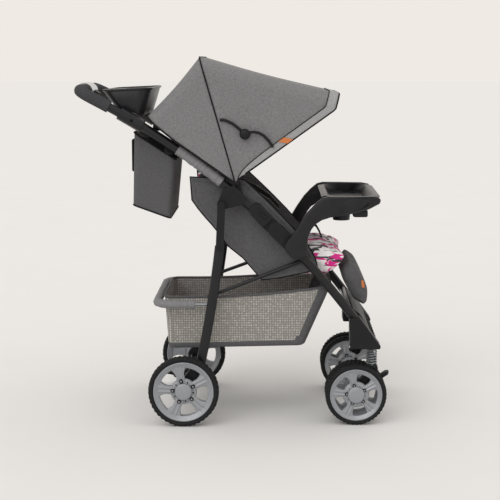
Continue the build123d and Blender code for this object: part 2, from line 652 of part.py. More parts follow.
# ---------------------------------------------------------------- casters
SPRING_BOTTOM = 156.0
SPRING_RADIUS = 13.0
SPRING_WIRE = 2.0
SPRING_TURNS = 6
SUSPENSION_TRAVEL = 8.0
FORK_HALF = 12.0
STEM_BOTTOM = 122.0
SPRING_SEAT = 3.5
LOCK_HUB = 6.0
LOCK_PIVOT = (CASTER_X + 18 + LOCK_HUB + 0.7, 126.0)
spring_top = BRACKET_BOTTOM - SEATED_GAP - SPRING_SEAT
for side_name, side in SIDES.items():
    caster_y = side * CASTER_Y
    with BuildPart() as stem:
        with BuildSketch(Plane.XY.offset(STEM_BOTTOM)):
            with Locations((CASTER_X, caster_y)):
                Circle(STEM_RADIUS)
        extrude(amount=STEM_TOP - STEM_BOTTOM)
        with BuildSketch(Plane.XY.offset(spring_top)):
            with Locations((CASTER_X, caster_y)):
                Circle(SPRING_RADIUS + SPRING_WIRE + 1)
        extrude(amount=SPRING_SEAT)
    keep(stem, f"caster_stem_{side_name}")

    with BuildPart() as spring:
        coil_height = spring_top - SPRING_BOTTOM - 2 * SPRING_WIRE - 2 * SEATED_GAP
        with BuildLine(Plane(origin=(CASTER_X, caster_y, SPRING_BOTTOM + SPRING_WIRE + SEATED_GAP))) as coil:
            Helix(pitch=coil_height / SPRING_TURNS, height=coil_height, radius=SPRING_RADIUS)
        with BuildSketch(Plane(origin=coil.line @ 0, z_dir=coil.line % 0)):
            Circle(SPRING_WIRE)
        sweep(path=coil.line, is_frenet=True)
    keep(spring, f"caster_spring_{side_name}")

    with BuildPart() as fork:
        with BuildSketch(side_plane(caster_y)) as profile:
            with BuildLine():
                Polyline(
                    (CASTER_X - 15, SPRING_BOTTOM), (CASTER_X + 16, SPRING_BOTTOM),
                    (CASTER_X + 18, SPRING_BOTTOM - 40), (CASTER_X + 4, SPRING_BOTTOM - 62),
                    (FRONT_AXLE_X + 4, FRONT_WHEEL_RADIUS - 14), (FRONT_AXLE_X - 9, FRONT_WHEEL_RADIUS + 10),
                    (CASTER_X - 20, SPRING_BOTTOM - 22), close=True,
                )
            make_face()
            with Locations((FRONT_AXLE_X, FRONT_WHEEL_RADIUS)):
                Circle(14)
        extrude(amount=FORK_HALF, both=True)
        fillet(fork.edges().filter_by(Axis.Y).group_by(Axis.Z)[-1], 4)
        with BuildSketch(Plane.XY.offset(SPRING_BOTTOM)):
            with Locations((CASTER_X, caster_y)):
                Circle(SPRING_RADIUS + SPRING_WIRE + 1)
        extrude(amount=-4)
        with BuildSketch(Plane.XY.offset(SPRING_BOTTOM)):
            with Locations((CASTER_X, caster_y)):
                Circle(STEM_RADIUS + RUNNING_FIT)
        extrude(amount=-(SPRING_BOTTOM - STEM_BOTTOM + SUSPENSION_TRAVEL + 3), mode=Mode.SUBTRACT)
        add(pin_along_y(
            (FRONT_AXLE_X, FRONT_WHEEL_RADIUS), AXLE_RADIUS,
            caster_y - FRONT_TWIN_OFFSET - FRONT_WHEEL_WIDTH / 2 + 3,
            caster_y + FRONT_TWIN_OFFSET + FRONT_WHEEL_WIDTH / 2 - 3,
        ))
    keep(fork, f"caster_fork_{side_name}")

    with BuildPart() as lever:
        with BuildSketch(side_plane(caster_y)):
            with BuildLine():
                Polyline(
                    (LOCK_PIVOT[0], LOCK_PIVOT[1] - LOCK_HUB), (CASTER_X + 44, 133),
                    (CASTER_X + 46, 141), (CASTER_X + 38, 141),
                    (LOCK_PIVOT[0], LOCK_PIVOT[1] + LOCK_HUB), close=True,
                )
            make_face()
            with Locations(LOCK_PIVOT):
                Circle(LOCK_HUB)
        extrude(amount=11, both=True)
    keep(lever, f"swivel_lock_{side_name}")

# ---------------------------------------------------------------- seat bars
bar_line = Vector(*on_side(SEAT_BAR_FRONT, -SEAT_BAR_FRONT_Y)) - Vector(
    *on_side(SEAT_BAR_REAR, -SEAT_BAR_REAR_Y)
)
bar_unit = bar_line.normalized()
bar_from = Vector(*on_side(SEAT_BAR_REAR, -SEAT_BAR_REAR_Y))
bar_to = bar_from + bar_unit * (bar_line.length - BAR_EYE + 1)
with BuildPart() as seat_bars:
    with BuildLine() as bar_path:
        Line(bar_from, bar_to)
    with BuildSketch(Plane(origin=bar_from, z_dir=bar_unit)):
        Circle(SEAT_BAR_RADIUS)
    sweep(path=bar_path.line)
    add(pin_along_y(SEAT_BAR_FRONT, BAR_EYE, -SEAT_BAR_FRONT_Y + 4, -SEAT_BAR_FRONT_Y - 5))
    add(pin_along_y(SEAT_BAR_REAR, BAR_EYE, -SEAT_BAR_REAR_Y + 5, -SEAT_BAR_REAR_Y - 5))
    add(pin_along_y(SEAT_BAR_FRONT, BAR_PIN + RUNNING_FIT, -SEAT_HALF_WIDTH, -TUBE_Y),
        mode=Mode.SUBTRACT)
    mirror(about=Plane.XZ)
keep(seat_bars, "seat_bars")

# ---------------------------------------------------------------- seat
seat_side_outline = [
    (-112, 664), (-107, 602), (-72, 556), (-38, 516), (-11, 478), (30, 445), (81, 385),
    (156, 397), (232, 415), (216, 462), (183, 506), (110, 584), (35, 656),
]
for side_name, side in SIDES.items():
    with BuildPart() as seat_side:
        with BuildSketch(side_plane(side * (SEAT_HALF_WIDTH - SIDE_CLOTH / 2))) as profile:
            with BuildLine():
                Polyline(*seat_side_outline, close=True)
            make_face()
        extrude(amount=SIDE_CLOTH / 2, both=True)
    keep(seat_side, f"seat_side_{side_name}")

SEAT_INNER = SEAT_HALF_WIDTH - SIDE_CLOTH - SEATED_GAP
RECLINE_ROUND = 14.0
seat_rear = RECLINE_PIVOT[0] + RECLINE_ROUND + SEATED_GAP
seat_tube_top = arc_point(-SEAT_TUBE_ARC)[1] + CROSS_TUBE_RADIUS + SEATED_GAP
with BuildPart() as seat_base:
    with BuildSketch(side_plane(0)) as profile:
        with BuildLine():
            Polyline(
                (seat_rear, 392), (arc_point(-SEAT_TUBE_ARC)[0] - 30, seat_tube_top),
                (arc_point(-SEAT_TUBE_ARC)[0] + 20, seat_tube_top), (296, 424), (314, 444),
                (308, 458), (276, 474), (240, 481), (204, 478), (150, 452), (seat_rear, 430),
                close=True,
            )
        make_face()
    extrude(amount=SEAT_INNER, both=True)
keep(seat_base, "seat_cushion")

BACKREST_HALF = SEAT_INNER - 3
with BuildPart() as backrest:
    with BuildSketch(side_plane(0)) as profile:
        with BuildLine():
            Polyline(
                (RECLINE_PIVOT[0] - 11, RECLINE_PIVOT[1] - 9), (-84, 638), (-100, 690), (-76, 704),
                (-56, 664), (RECLINE_PIVOT[0] + 11, RECLINE_PIVOT[1] + 9), close=True,
            )
        make_face()
        with Locations(RECLINE_PIVOT):
            Circle(RECLINE_ROUND)
    extrude(amount=BACKREST_HALF, both=True)
keep(backrest, "backrest")

with BuildPart() as footrest:
    with BuildSketch(side_plane(0)) as profile:
        with BuildLine():
            Polyline(
                FOOTREST_PIVOT, (344, 408), (361, 375), (369, 352), (370, 316), (356, 302),
                (330, 330), (300, 388), (298, 408), (312, 428), close=True,
            )
        make_face()
    extrude(amount=150, both=True)
keep(footrest, "footrest")

# Crotch strap, a loop standing on the cushion between the child's legs.
with BuildPart() as crotch:
    with BuildSketch(side_plane(0)):
        with BuildLine():
            Polyline(
                (194, 474.5), (204, 479.5), (216, 520), (238, 502), (244, 481.5), (252, 480),
                (246, 508), (218, 532), (206, 524), close=True,
            )
        make_face()
    extrude(amount=19, both=True)
keep(crotch, "crotch_strap")

# ---------------------------------------------------------------- basket
BASKET_TOP = 336.0
with BuildPart() as basket:
    with BuildSketch(side_plane(0)) as profile:
        with BuildLine():
            Polyline(
                (-184, BASKET_TOP), (-176, 194), (196, 204), (268, BASKET_TOP + 34), close=True
            )
        make_face()
        fillet(profile.vertices().group_by(Axis.Y)[:2], 14)
    extrude(amount=BASKET_HALF_WIDTH, both=True)
    offset(amount=-BASKET_WALL, openings=basket.faces().sort_by(Axis.Z)[-1:])
keep(basket, "basket")

# Wire hoop behind the rear legs that holds the basket's rear edge, and its padded sleeve.
HOOP_WIRE = 4.0
HOOP_Y = 202.0
HOOP_SLEEVE = 12.0
HOOP_FRONT = (-53.0, 324.0)
HOOP_REAR_X = -203.0
HOOP_CORNER = 45.0
SLEEVE_FRONT_X = -97.0


def hoop_rod(front_x, radius):
    """Solid round rod along the hoop: two sides, rounded rear corners and a rear run."""
    z = HOOP_FRONT[1]
    with BuildPart() as rod:
        with BuildLine() as path:
            FilletPolyline(
                (front_x, -HOOP_Y, z), (HOOP_REAR_X, -HOOP_Y, z),
                (HOOP_REAR_X, HOOP_Y, z), (front_x, HOOP_Y, z), radius=HOOP_CORNER,
            )
        with BuildSketch(Plane(origin=path.line @ 0, z_dir=path.line % 0)):
            Circle(radius)
        sweep(path=path.line)
    return rod.part


with BuildPart() as hoop:
    add(hoop_rod(HOOP_FRONT[0], HOOP_WIRE))
    for side in SIDES.values():
        add(pin_along_y(HOOP_FRONT, HOOP_WIRE + 3, side * (HOOP_Y - HOOP_WIRE - 0.5),
                        side * (REAR_LEG_Y - REAR_LEG_THICK / 2 - SEATED_GAP)))
keep(hoop, "basket_hoop")

with BuildPart() as hoop_sleeve:
    add(hoop_rod(SLEEVE_FRONT_X, HOOP_SLEEVE))
    add(hoop_rod(SLEEVE_FRONT_X + 2, HOOP_WIRE + SEATED_GAP), mode=Mode.SUBTRACT)
keep(hoop_sleeve, "basket_hoop_sleeve")

# ---------------------------------------------------------------- canopy
CANOPY_APEX = (-85.0, 982.0)
CANOPY_FRONT = (281.0, 892.0)
CANOPY_LIP = (295.0, 870.0)
CANOPY_REAR = (-222.0, 812.0)
CANOPY_REAR_LOW = (-176.0, 740.0)
CANOPY_SEAM = 2.0
CANOPY_DEPTH = 700.0      # of the rounded tunnel each panel is cut from


def canopy_panel(outline, roof_from, roof_to):
    """Cloth panel: two side walls and a roof joined by rounded corners."""
    run = Vector(roof_to[0] - roof_from[0], 0, roof_to[1] - roof_from[1])
    start = Vector(*on_side(roof_from, 0)) - run * 0.5
    tunnel = Plane(origin=start, x_dir=(0, 1, 0), z_dir=run)
    inner_half = CANOPY_HALF_WIDTH - CANOPY_WALL
    with BuildPart() as panel:
        with BuildSketch(side_plane(0)):
            with BuildLine():
                Polyline(*outline, close=True)
            make_face()
        extrude(amount=CANOPY_HALF_WIDTH, both=True)
        with BuildSketch(tunnel):
            with Locations((0, -CANOPY_DEPTH / 2)):
                RectangleRounded(2 * CANOPY_HALF_WIDTH, CANOPY_DEPTH, CANOPY_CORNER)
        extrude(amount=2 * run.length, mode=Mode.INTERSECT)
        with BuildSketch(tunnel):
            with Locations((0, -CANOPY_DEPTH / 2 - CANOPY_WALL)):
                RectangleRounded(2 * inner_half, CANOPY_DEPTH, CANOPY_CORNER - CANOPY_WALL)
        extrude(amount=2 * run.length, mode=Mode.SUBTRACT)
    return panel.part


seam_rear = (CANOPY_APEX[0] - CANOPY_SEAM / 2, CANOPY_APEX[1])
seam_front = (CANOPY_APEX[0] + CANOPY_SEAM / 2, CANOPY_APEX[1])
with BuildPart() as canopy_rear:
    add(canopy_panel(
        [(8, 653), CANOPY_REAR_LOW, CANOPY_REAR, seam_rear], CANOPY_REAR, seam_rear,
    ))
keep(canopy_rear, "canopy_rear_panel")
with BuildPart() as canopy_front:
    add(canopy_panel(
        [(8 + 2 * CANOPY_SEAM, 653), seam_front, CANOPY_FRONT, CANOPY_LIP, (36, 659)],
        seam_front, CANOPY_FRONT,
    ))
keep(canopy_front, "canopy_front_panel")


def bow(top, y, radius):
    """U-shaped bow from the canopy pivot up one side, across and down the other."""
    reach = Vector(top[0] - CANOPY_PIVOT[0], 0, top[1] - CANOPY_PIVOT[1])
    inside = reach.normalized() * (reach.length - CANOPY_WALL - 2 * radius - 4)
    foot = Vector(*on_side(CANOPY_PIVOT, -y))
    across = Vector(0, 2 * y, 0)
    with BuildPart() as hoop_bow:
        with BuildLine() as line:
            FilletPolyline(
                foot, foot + inside, foot + inside + across, foot + across,
                radius=CANOPY_CORNER + 8,
            )
        with BuildSketch(Plane(origin=line.line @ 0, z_dir=line.line % 0)):
            Circle(radius)
        sweep(path=line.line)
        for side in SIDES.values():
            add(pin_along_y(CANOPY_PIVOT, 9, side * (y - radius - 0.2), side * (y + radius + 0.2)))
            add(pin_along_y(CANOPY_PIVOT, BAR_PIN + RUNNING_FIT, side * (y - 10), side * (y + 10)),
                mode=Mode.SUBTRACT)
    return hoop_bow.part


BOW_RADIUS = 3.0
MIDDLE_BOW_Y = 189.5
FRONT_BOW_Y = 196.5
with BuildPart() as middle_bow:
    add(bow(CANOPY_APEX, MIDDLE_BOW_Y, BOW_RADIUS))
keep(middle_bow, "canopy_middle_bow")
with BuildPart() as front_bow:
    add(bow((CANOPY_FRONT[0] - 2, CANOPY_FRONT[1] - 8), FRONT_BOW_Y, BOW_RADIUS))
keep(front_bow, "canopy_front_bow")

CLIP_ARC = 142.0
with BuildPart() as clips:
    with BuildSketch(side_plane(-183)) as profile:
        with BuildLine():
            Polyline(
                arc_offset(CLIP_ARC - 12, 11), arc_offset(CLIP_ARC + 12, 11),
                (CANOPY_PIVOT[0] - 9, CANOPY_PIVOT[1]), (CANOPY_PIVOT[0] + 9, CANOPY_PIVOT[1]),
                close=True,
            )
        make_face()
        with Locations(CANOPY_PIVOT):
            Circle(9)
    extrude(amount=3, both=True)
    add(arc_rod(CLIP_ARC - 13, CLIP_ARC + 13, TUBE_RADIUS + 3, -TUBE_Y))
    with BuildSketch(side_plane(-plate_inner + SEATED_GAP)):
        with Locations(arc_point(CLIP_ARC)):
            Rectangle(80, 80)
    extrude(amount=10, mode=Mode.SUBTRACT)
    add(arc_rod(CLIP_ARC - 40, CLIP_ARC + 40, TUBE_RADIUS + RUNNING_FIT, -TUBE_Y),
        mode=Mode.SUBTRACT)
    add(pin_along_y(CANOPY_PIVOT, BAR_PIN, -183, -200.5))
    mirror(about=Plane.XZ)
keep(clips, "canopy_clips")

# Canopy stays: two short links with an elbow knob on each side.
STAY_REAR = (-30.0, 818.0)
STAY_ELBOW = (36.0, 781.0)
STAY_FRONT = (110.0, 747.0)
STAY_THICK = 3.0
STAY_KNOB = 9.0
stay_y = CANOPY_HALF_WIDTH + SEATED_GAP


def stay_link(start, end, y_inner):
    """Flat link with round ends and a rivet at its start, seen from the side."""
    run = Vector(end[0] - start[0], 0, end[1] - start[1])
    flat = Plane(origin=on_side(start, -y_inner), x_dir=run, z_dir=(0, -1, 0))
    with BuildPart() as link:
        with BuildSketch(flat):
            with Locations((run.length / 2, 0)):
                SlotCenterToCenter(run.length, 11)
        extrude(amount=STAY_THICK)
        with BuildSketch(flat.offset(STAY_THICK)):
            Circle(4)
        extrude(amount=1.5)
    return link.part


with BuildPart() as stay_rear:
    add(stay_link(STAY_REAR, STAY_ELBOW, stay_y))
    mirror(about=Plane.XZ)
keep(stay_rear, "canopy_stay_rear")
knob_y = stay_y + 2 * STAY_THICK + SEATED_GAP
with BuildPart() as stay_front:
    add(stay_link(STAY_FRONT, STAY_ELBOW, stay_y + STAY_THICK + SEATED_GAP))
    with BuildSketch(side_plane(-knob_y)):
        with Locations(STAY_ELBOW):
            Circle(STAY_KNOB)
    extrude(amount=STAY_KNOB)
    fillet(stay_front.faces().sort_by(Axis.Y)[0].edges(), STAY_KNOB * 0.6)
    mirror(about=Plane.XZ)
keep(stay_front, "canopy_stay_front")

# ---------------------------------------------------------------- child tray
CHILD_TRAY_TOP = 617.0
CHILD_TRAY_FRONT = 402.0
CHILD_TRAY_CORNER = 88.0
CHILD_TRAY_RECESS = 26.0
CUP_X = 302.0
CUP_RADIUS = 24.0
CUP_WALL = 3.0
CUP_DEPTH = 50.0
TRAY_PIN = 8.0
tray_arm_inner = TRAY_ARM_Y - TRAY_ARM_THICK / 2
tray_half = TRAY_ARM_Y + TRAY_ARM_THICK / 2
tray_floor = CHILD_TRAY_TOP - CHILD_TRAY_RECESS
arm_outline = [
    (141, 486), (150, 464), (166, 451), (184, 447), (198, 456), (205, 479), (202, 501),
    (213, 531), (235, 552), (268, 566), (268, 606), (240, 602), (198, 573), (173, 533),
    (152, 504),
]
with BuildPart() as child_tray:
    with BuildSketch(side_plane(0)) as profile:
        with BuildLine():
            Polyline(
                (236, 606), (248, 566), (275, 562), (340, 574), (399, 590),
                (CHILD_TRAY_FRONT, 600), (378, CHILD_TRAY_TOP), (250, CHILD_TRAY_TOP), close=True,
            )
        make_face()
        fillet(profile.vertices(), 4)
    extrude(amount=tray_half, both=True)
    with BuildSketch(Plane.XY.offset(tray_floor - 100)):
        with Locations((CHILD_TRAY_FRONT - tray_half, 0)):
            RectangleRounded(2 * tray_half, 2 * tray_half, CHILD_TRAY_CORNER)
    extrude(amount=200, mode=Mode.INTERSECT)
    with BuildSketch(Plane.XY.offset(tray_floor)):
        with Locations((CUP_X, 0)):
            Circle(CUP_RADIUS + CUP_WALL)
    extrude(amount=-CUP_DEPTH - CUP_WALL)
    with BuildSketch(Plane.XY.offset(CHILD_TRAY_TOP)):
        with Locations((314, 0)):
            RectangleRounded(112, 2 * tray_arm_inner - 90, 50)
    extrude(amount=-CHILD_TRAY_RECESS, mode=Mode.SUBTRACT)
    with BuildSketch(Plane.XY.offset(tray_floor)):
        with Locations((CUP_X, 0)):
            Circle(CUP_RADIUS)
    extrude(amount=-CUP_DEPTH, mode=Mode.SUBTRACT)
    for side in SIDES.values():
        with BuildSketch(side_plane(side * TRAY_ARM_Y)) as profile:
            with BuildLine():
                Polyline(*arm_outline, close=True)
            make_face()
            fillet(profile.vertices(), 3)
        extrude(amount=TRAY_ARM_THICK / 2, both=True)
        add(pin_along_y(
            TRAY_PIVOT, TRAY_PIN, side * (tray_arm_inner + 3),
            side * (TUBE_Y + TUBE_RADIUS + SEATED_GAP),
        ))
keep(child_tray, "child_tray")
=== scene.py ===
import math

import bmesh
import bpy
from mathutils import Matrix, Vector


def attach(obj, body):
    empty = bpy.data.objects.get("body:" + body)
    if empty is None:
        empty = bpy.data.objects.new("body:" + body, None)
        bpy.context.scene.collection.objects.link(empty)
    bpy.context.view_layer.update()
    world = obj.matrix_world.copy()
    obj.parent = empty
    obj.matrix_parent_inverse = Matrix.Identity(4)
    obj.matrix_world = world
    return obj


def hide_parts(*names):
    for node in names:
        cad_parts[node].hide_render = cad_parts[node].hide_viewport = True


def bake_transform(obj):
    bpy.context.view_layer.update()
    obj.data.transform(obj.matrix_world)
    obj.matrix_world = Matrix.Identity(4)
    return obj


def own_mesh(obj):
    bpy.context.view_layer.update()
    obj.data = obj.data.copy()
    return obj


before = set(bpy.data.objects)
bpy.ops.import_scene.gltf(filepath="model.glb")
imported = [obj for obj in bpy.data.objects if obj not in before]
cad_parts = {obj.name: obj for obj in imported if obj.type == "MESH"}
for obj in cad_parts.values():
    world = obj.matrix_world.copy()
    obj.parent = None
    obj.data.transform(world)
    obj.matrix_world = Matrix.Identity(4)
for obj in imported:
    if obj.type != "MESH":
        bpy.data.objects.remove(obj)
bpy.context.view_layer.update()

# Camera: stands at chest height beside the stroller, a little above the child tray,
# and looks square at its right side, tipped down eight degrees.
camera_data = bpy.data.cameras.new("camera")
camera_data.lens = 97.43
camera_data.sensor_width = 36.0
camera_data.clip_end = 200.0
camera = bpy.data.objects.new("camera", camera_data)
camera.location = (0.1117, -3.7795, 0.9734)
camera.rotation_euler = (math.radians(90 - 7.98), 0.0, math.radians(1.0))
bpy.context.collection.objects.link(camera)
bpy.context.scene.camera = camera


# Studio: one pale matt floor under a sky of the same pale colour. A large soft light
# stands high on the near side behind the push bar, and a weaker, wider one hangs above.
def linear(colour):
    """An sRGB hex colour as linear red, green, blue and alpha."""
    parts = [int(colour[i:i + 2], 16) / 255 for i in (1, 3, 5)]
    bent = [p / 12.92 if p <= 0.04045 else ((p + 0.055) / 1.055) ** 2.4 for p in parts]
    return bent + [1.0]


def new_finish(name, colour, roughness, **shader):
    """A material with one shader: the material, its tree, the shader and Object coordinates."""
    made = bpy.data.materials.new(name)
    made.use_nodes = True
    tree = made.node_tree
    tree.nodes.clear()
    surface = tree.nodes.new("ShaderNodeBsdfPrincipled")
    surface.inputs["Base Color"].default_value = linear(colour)
    surface.inputs["Roughness"].default_value = roughness
    for socket, value in shader.items():
        surface.inputs[socket.replace("_", " ")].default_value = value
    out = tree.nodes.new("ShaderNodeOutputMaterial")
    tree.links.new(surface.outputs[0], out.inputs[0])
    return made, tree, surface, tree.nodes.new("ShaderNodeTexCoord").outputs["Object"]


def node(tree, kind, inputs=None, feeds=None, **settings):
    """Adds one node. Another node's socket as an input is a link, and so is what it feeds."""
    made = tree.nodes.new("ShaderNode" + kind)
    for name, value in settings.items():
        setattr(made, name, value)
    for name, value in (inputs or {}).items():
        if isinstance(value, bpy.types.NodeSocket):
            tree.links.new(value, made.inputs[name])
        else:
            made.inputs[name].default_value = value
    if feeds:
        colour_result = 2
        tree.links.new(made.outputs[colour_result if kind == "Mix" else 0], feeds)
    return made


def verts_of(made):
    """The vertices among what an operator made."""
    return [g for g in made["geom"] if isinstance(g, bmesh.types.BMVert)]


def applied(piece):
    """Makes what the modifiers give the piece's own mesh."""
    graph = bpy.context.evaluated_depsgraph_get()
    mesh = bpy.data.meshes.new_from_object(piece.evaluated_get(graph))
    piece.modifiers.clear()
    piece.data = mesh
    return mesh


def build(bm, name, *finishes, smooth=True):
    """Turns a bmesh into a piece at the origin with these finishes."""
    mesh = bpy.data.meshes.new(name)
    bm.to_mesh(mesh)
    bm.free()
    for finish in finishes:
        mesh.materials.append(finish)
    if smooth:
        mesh.shade_smooth()
    piece = bpy.data.objects.new(name, mesh)
    bpy.context.collection.objects.link(piece)
    return piece


floor_paint, tree, surface, here = new_finish("pale_floor_paint", "#DEDEDE", 0.95,
                                              Specular_IOR_Level=0.0)
grain = node(tree, "TexNoise", {"Scale": 3.0, "Vector": here})
node(tree, "Mix", {0: grain.outputs["Fac"], 6: linear("#E0E0E0"), 7: linear("#DDDDDD")},
     surface.inputs["Base Color"], data_type="RGBA")
bm = bmesh.new()
bmesh.ops.create_circle(bm, cap_ends=True, segments=64, radius=60.0)
floor = build(bm, "studio_floor", floor_paint)

world = bpy.data.worlds.new("pale_sky")
world.use_nodes = True
world.node_tree.nodes["Background"].inputs[0].default_value = linear("#EFEAE4")
world.node_tree.nodes["Background"].inputs[1].default_value = 1.0
bpy.context.scene.world = world
bpy.context.scene.view_settings.view_transform = "Standard"

for light_name, place, power, spread in (
    ("key_softbox", (-1.2, -2.6, 2.6), 0.9, 50.0),
    ("top_softbox", (0.3, 0.6, 4.0), 0.35, 80.0),
):
    light_data = bpy.data.lights.new(light_name, "SUN")
    light_data.energy = power
    light_data.angle = math.radians(spread)
    light = bpy.data.objects.new(light_name, light_data)
    light.location = place
    light.rotation_euler = (Vector((0.0, 0.0, 0.45)) - Vector(place)).to_track_quat(
        "-Z", "Y").to_euler()
    bpy.context.collection.objects.link(light)


# Frame tubes: drawn steel tube, bent to one long curve and powder-coated charcoal.
# The coat has a faint orange-peel ripple and a satin shine.
def dress(finish, *names):
    """Gives CAD nodes this finish."""
    for name in names:
        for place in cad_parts[name].material_slots:
            place.material = finish


powder_coat, tree, surface, here = new_finish("charcoal_powder_coat", "#141416", 0.3,
                                              Specular_IOR_Level=0.35)
ORANGE_PEEL = 0.003
peel = node(tree, "TexNoise", {"Vector": here, "Scale": 1 / ORANGE_PEEL, "Detail": 2.0})
node(tree, "Mix", {0: peel.outputs["Fac"], 6: linear("#101012"), 7: linear("#19191C")},
     surface.inputs["Base Color"], data_type="RGBA")
node(tree, "Bump", {"Height": peel.outputs["Fac"], "Strength": 0.06, "Distance": 0.0004},
     surface.inputs["Normal"])
dress(powder_coat, "handle_tube", "front_leg_left", "front_leg_right", "rear_leg_left",
      "rear_leg_right", "front_crossbar", "seat_tube", "rear_axle", "seat_bars")

# Housings and brackets: glass-filled nylon, injection moulded with a spark-eroded grain.
# The grain breaks the shine into a dull black. It is drawn coarser than its real 0.2 mm.
nylon, tree, surface, here = new_finish("black_glass_filled_nylon", "#17171A", 0.5,
                                  Specular_IOR_Level=0.22)
SPARK_GRAIN = 0.0012
spark = node(tree, "TexNoise", {"Vector": here, "Scale": 1 / SPARK_GRAIN, "Detail": 3.0})
node(tree, "Mix", {0: spark.outputs["Fac"], 6: linear("#121214"), 7: linear("#1E1E21")},
     surface.inputs["Base Color"], data_type="RGBA")
node(tree, "MapRange", {0: spark.outputs["Fac"], 3: 0.42, 4: 0.6}, surface.inputs["Roughness"])
node(tree, "Bump", {"Height": spark.outputs["Fac"], "Strength": 0.25, "Distance": 0.0003},
     surface.inputs["Normal"])
dress(nylon, "front_bracket_left", "front_bracket_right", "fold_joint_lower", "fold_joint_upper",
      "fold_latches", "leg_brackets", "leg_links", "rear_wheel_boots", "brake_pedal",
      "caster_fork_left", "caster_fork_right", "swivel_lock_left", "swivel_lock_right",
      "canopy_clips", "canopy_stay_rear", "canopy_stay_front", "canopy_middle_bow",
      "canopy_front_bow", "release_button", "footplate")

# Caster springs and stems, and the hoop that carries the basket: steel, zinc plated.
# The plating is grey and slightly streaked.
zinc, tree, surface, here = new_finish("zinc_plated_steel", "#8C8F93", 0.34, Metallic=1.0)
streak = node(tree, "TexNoise", {"Vector": here, "Scale": 260.0, "Detail": 3.0})
node(tree, "Mix", {0: streak.outputs["Fac"], 6: linear("#74777B"), 7: linear("#A0A3A8")},
     surface.inputs["Base Color"], data_type="RGBA")
dress(zinc, "caster_stem_left", "caster_stem_right", "caster_spring_left",
      "caster_spring_right", "basket_hoop")

# Grips: foamed EVA tube slid over the push bar. Its open cells give a soft, matt,
# finely pitted skin.
foam, tree, surface, here = new_finish("dark_eva_foam", "#37383A", 0.85, Specular_IOR_Level=0.1)
FOAM_CELL = 0.0025
cell = node(tree, "TexVoronoi", {"Vector": here, "Scale": 1 / FOAM_CELL})
node(tree, "Mix", {0: cell.outputs["Distance"], 6: linear("#333437"), 7: linear("#4A4B4E")},
     surface.inputs["Base Color"], data_type="RGBA")
node(tree, "Bump", {"Height": cell.outputs["Distance"], "Strength": 0.5, "Distance": 0.0006},
     surface.inputs["Normal"])
dress(foam, "grip_left", "grip_right")

# Release housing: ABS with a satin chrome plate, smooth and only softly mirror-like.
chrome, tree, surface, here = new_finish("satin_chrome_plate", "#C4C7CC", 0.22, Metallic=1.0)
haze = node(tree, "TexNoise", {"Vector": here, "Scale": 180.0, "Detail": 2.0})
node(tree, "MapRange", {0: haze.outputs["Fac"], 3: 0.17, 4: 0.29}, surface.inputs["Roughness"])
dress(chrome, "release_housing")

# Trays: polypropylene moulded in a polished tool, so a glossy black with faint flow
# waves and a slightly worn sheen.
gloss, tree, surface, here = new_finish("polished_black_polypropylene", "#1A1A1D", 0.3,
                                 Specular_IOR_Level=0.28)
flow = node(tree, "TexNoise", {"Vector": here, "Scale": 40.0, "Detail": 3.0})
node(tree, "Mix", {0: flow.outputs["Fac"], 6: linear("#161619"), 7: linear("#222226")},
     surface.inputs["Base Color"], data_type="RGBA")
node(tree, "MapRange", {0: flow.outputs["Fac"], 3: 0.26, 4: 0.4}, surface.inputs["Roughness"])
dress(gloss, "child_tray", "parent_tray")

# Wheels: five-spoke hubs moulded in ABS and lacquered silver-grey, with a foamed rubber
# tyre stretched round each. The spokes flare into the rim and carry a raised ridge.
lacquer, tree, surface, here = new_finish("silver_grey_lacquered_abs", "#8B8E93", 0.36,
                                          Metallic=0.3, Coat_Weight=0.15)
FLAKE = 0.0016
flake = node(tree, "TexVoronoi", {"Vector": here, "Scale": 1 / FLAKE})
node(tree, "Mix", {0: flake.outputs["Distance"], 6: linear("#7F8287"), 7: linear("#9FA2A7")},
     surface.inputs["Base Color"], data_type="RGBA")

# Painted shade: this near-black finish colours the discs round the spoke bolts and between the
# spokes, which stand for the shade inside the hub's recesses. The same black also colours the tray
# clamp screws.
screw_black_and_recess_shade, tree, surface, here = new_finish("black_abs_and_painted_recess_shade", "#0C0C0D", 0.5,
                                      Specular_IOR_Level=0.1)
dust = node(tree, "TexNoise", {"Vector": here, "Scale": 300.0})
node(tree, "Mix", {0: dust.outputs["Fac"], 6: linear("#060607"), 7: linear("#101012")},
     surface.inputs["Base Color"], data_type="RGBA")

rubber, tree, surface, here = new_finish("foamed_tyre_rubber", "#161617", 0.72,
                                         Specular_IOR_Level=0.25)
scuff = node(tree, "TexNoise", {"Vector": here, "Scale": 420.0, "Detail": 4.0})
node(tree, "Mix", {0: scuff.outputs["Fac"], 6: linear("#101011"), 7: linear("#232325")},
     surface.inputs["Base Color"], data_type="RGBA")
node(tree, "Bump", {"Height": scuff.outputs["Fac"], "Strength": 0.3, "Distance": 0.0004},
     surface.inputs["Normal"])

RIM_SHARE = 0.853
TREAD_BLOCKS = 88
SPOKES = 5
SPOKE_TURN = math.radians(102)
REAR_RIM = 0.081          # the rim radius that the spoke and bolt sizes are given for


def turned(bm, profile, steps):
    """Spins a profile of (distance from the axle, y) points a full turn about Y."""
    ring = [bm.verts.new((distance, y, 0.0)) for distance, y in profile]
    edges = [bm.edges.new(pair) for pair in zip(ring, ring[1:])]
    bmesh.ops.spin(bm, geom=ring + edges, cent=(0, 0, 0), axis=(0, 1, 0),
                   angle=math.tau, steps=steps, use_merge=True)


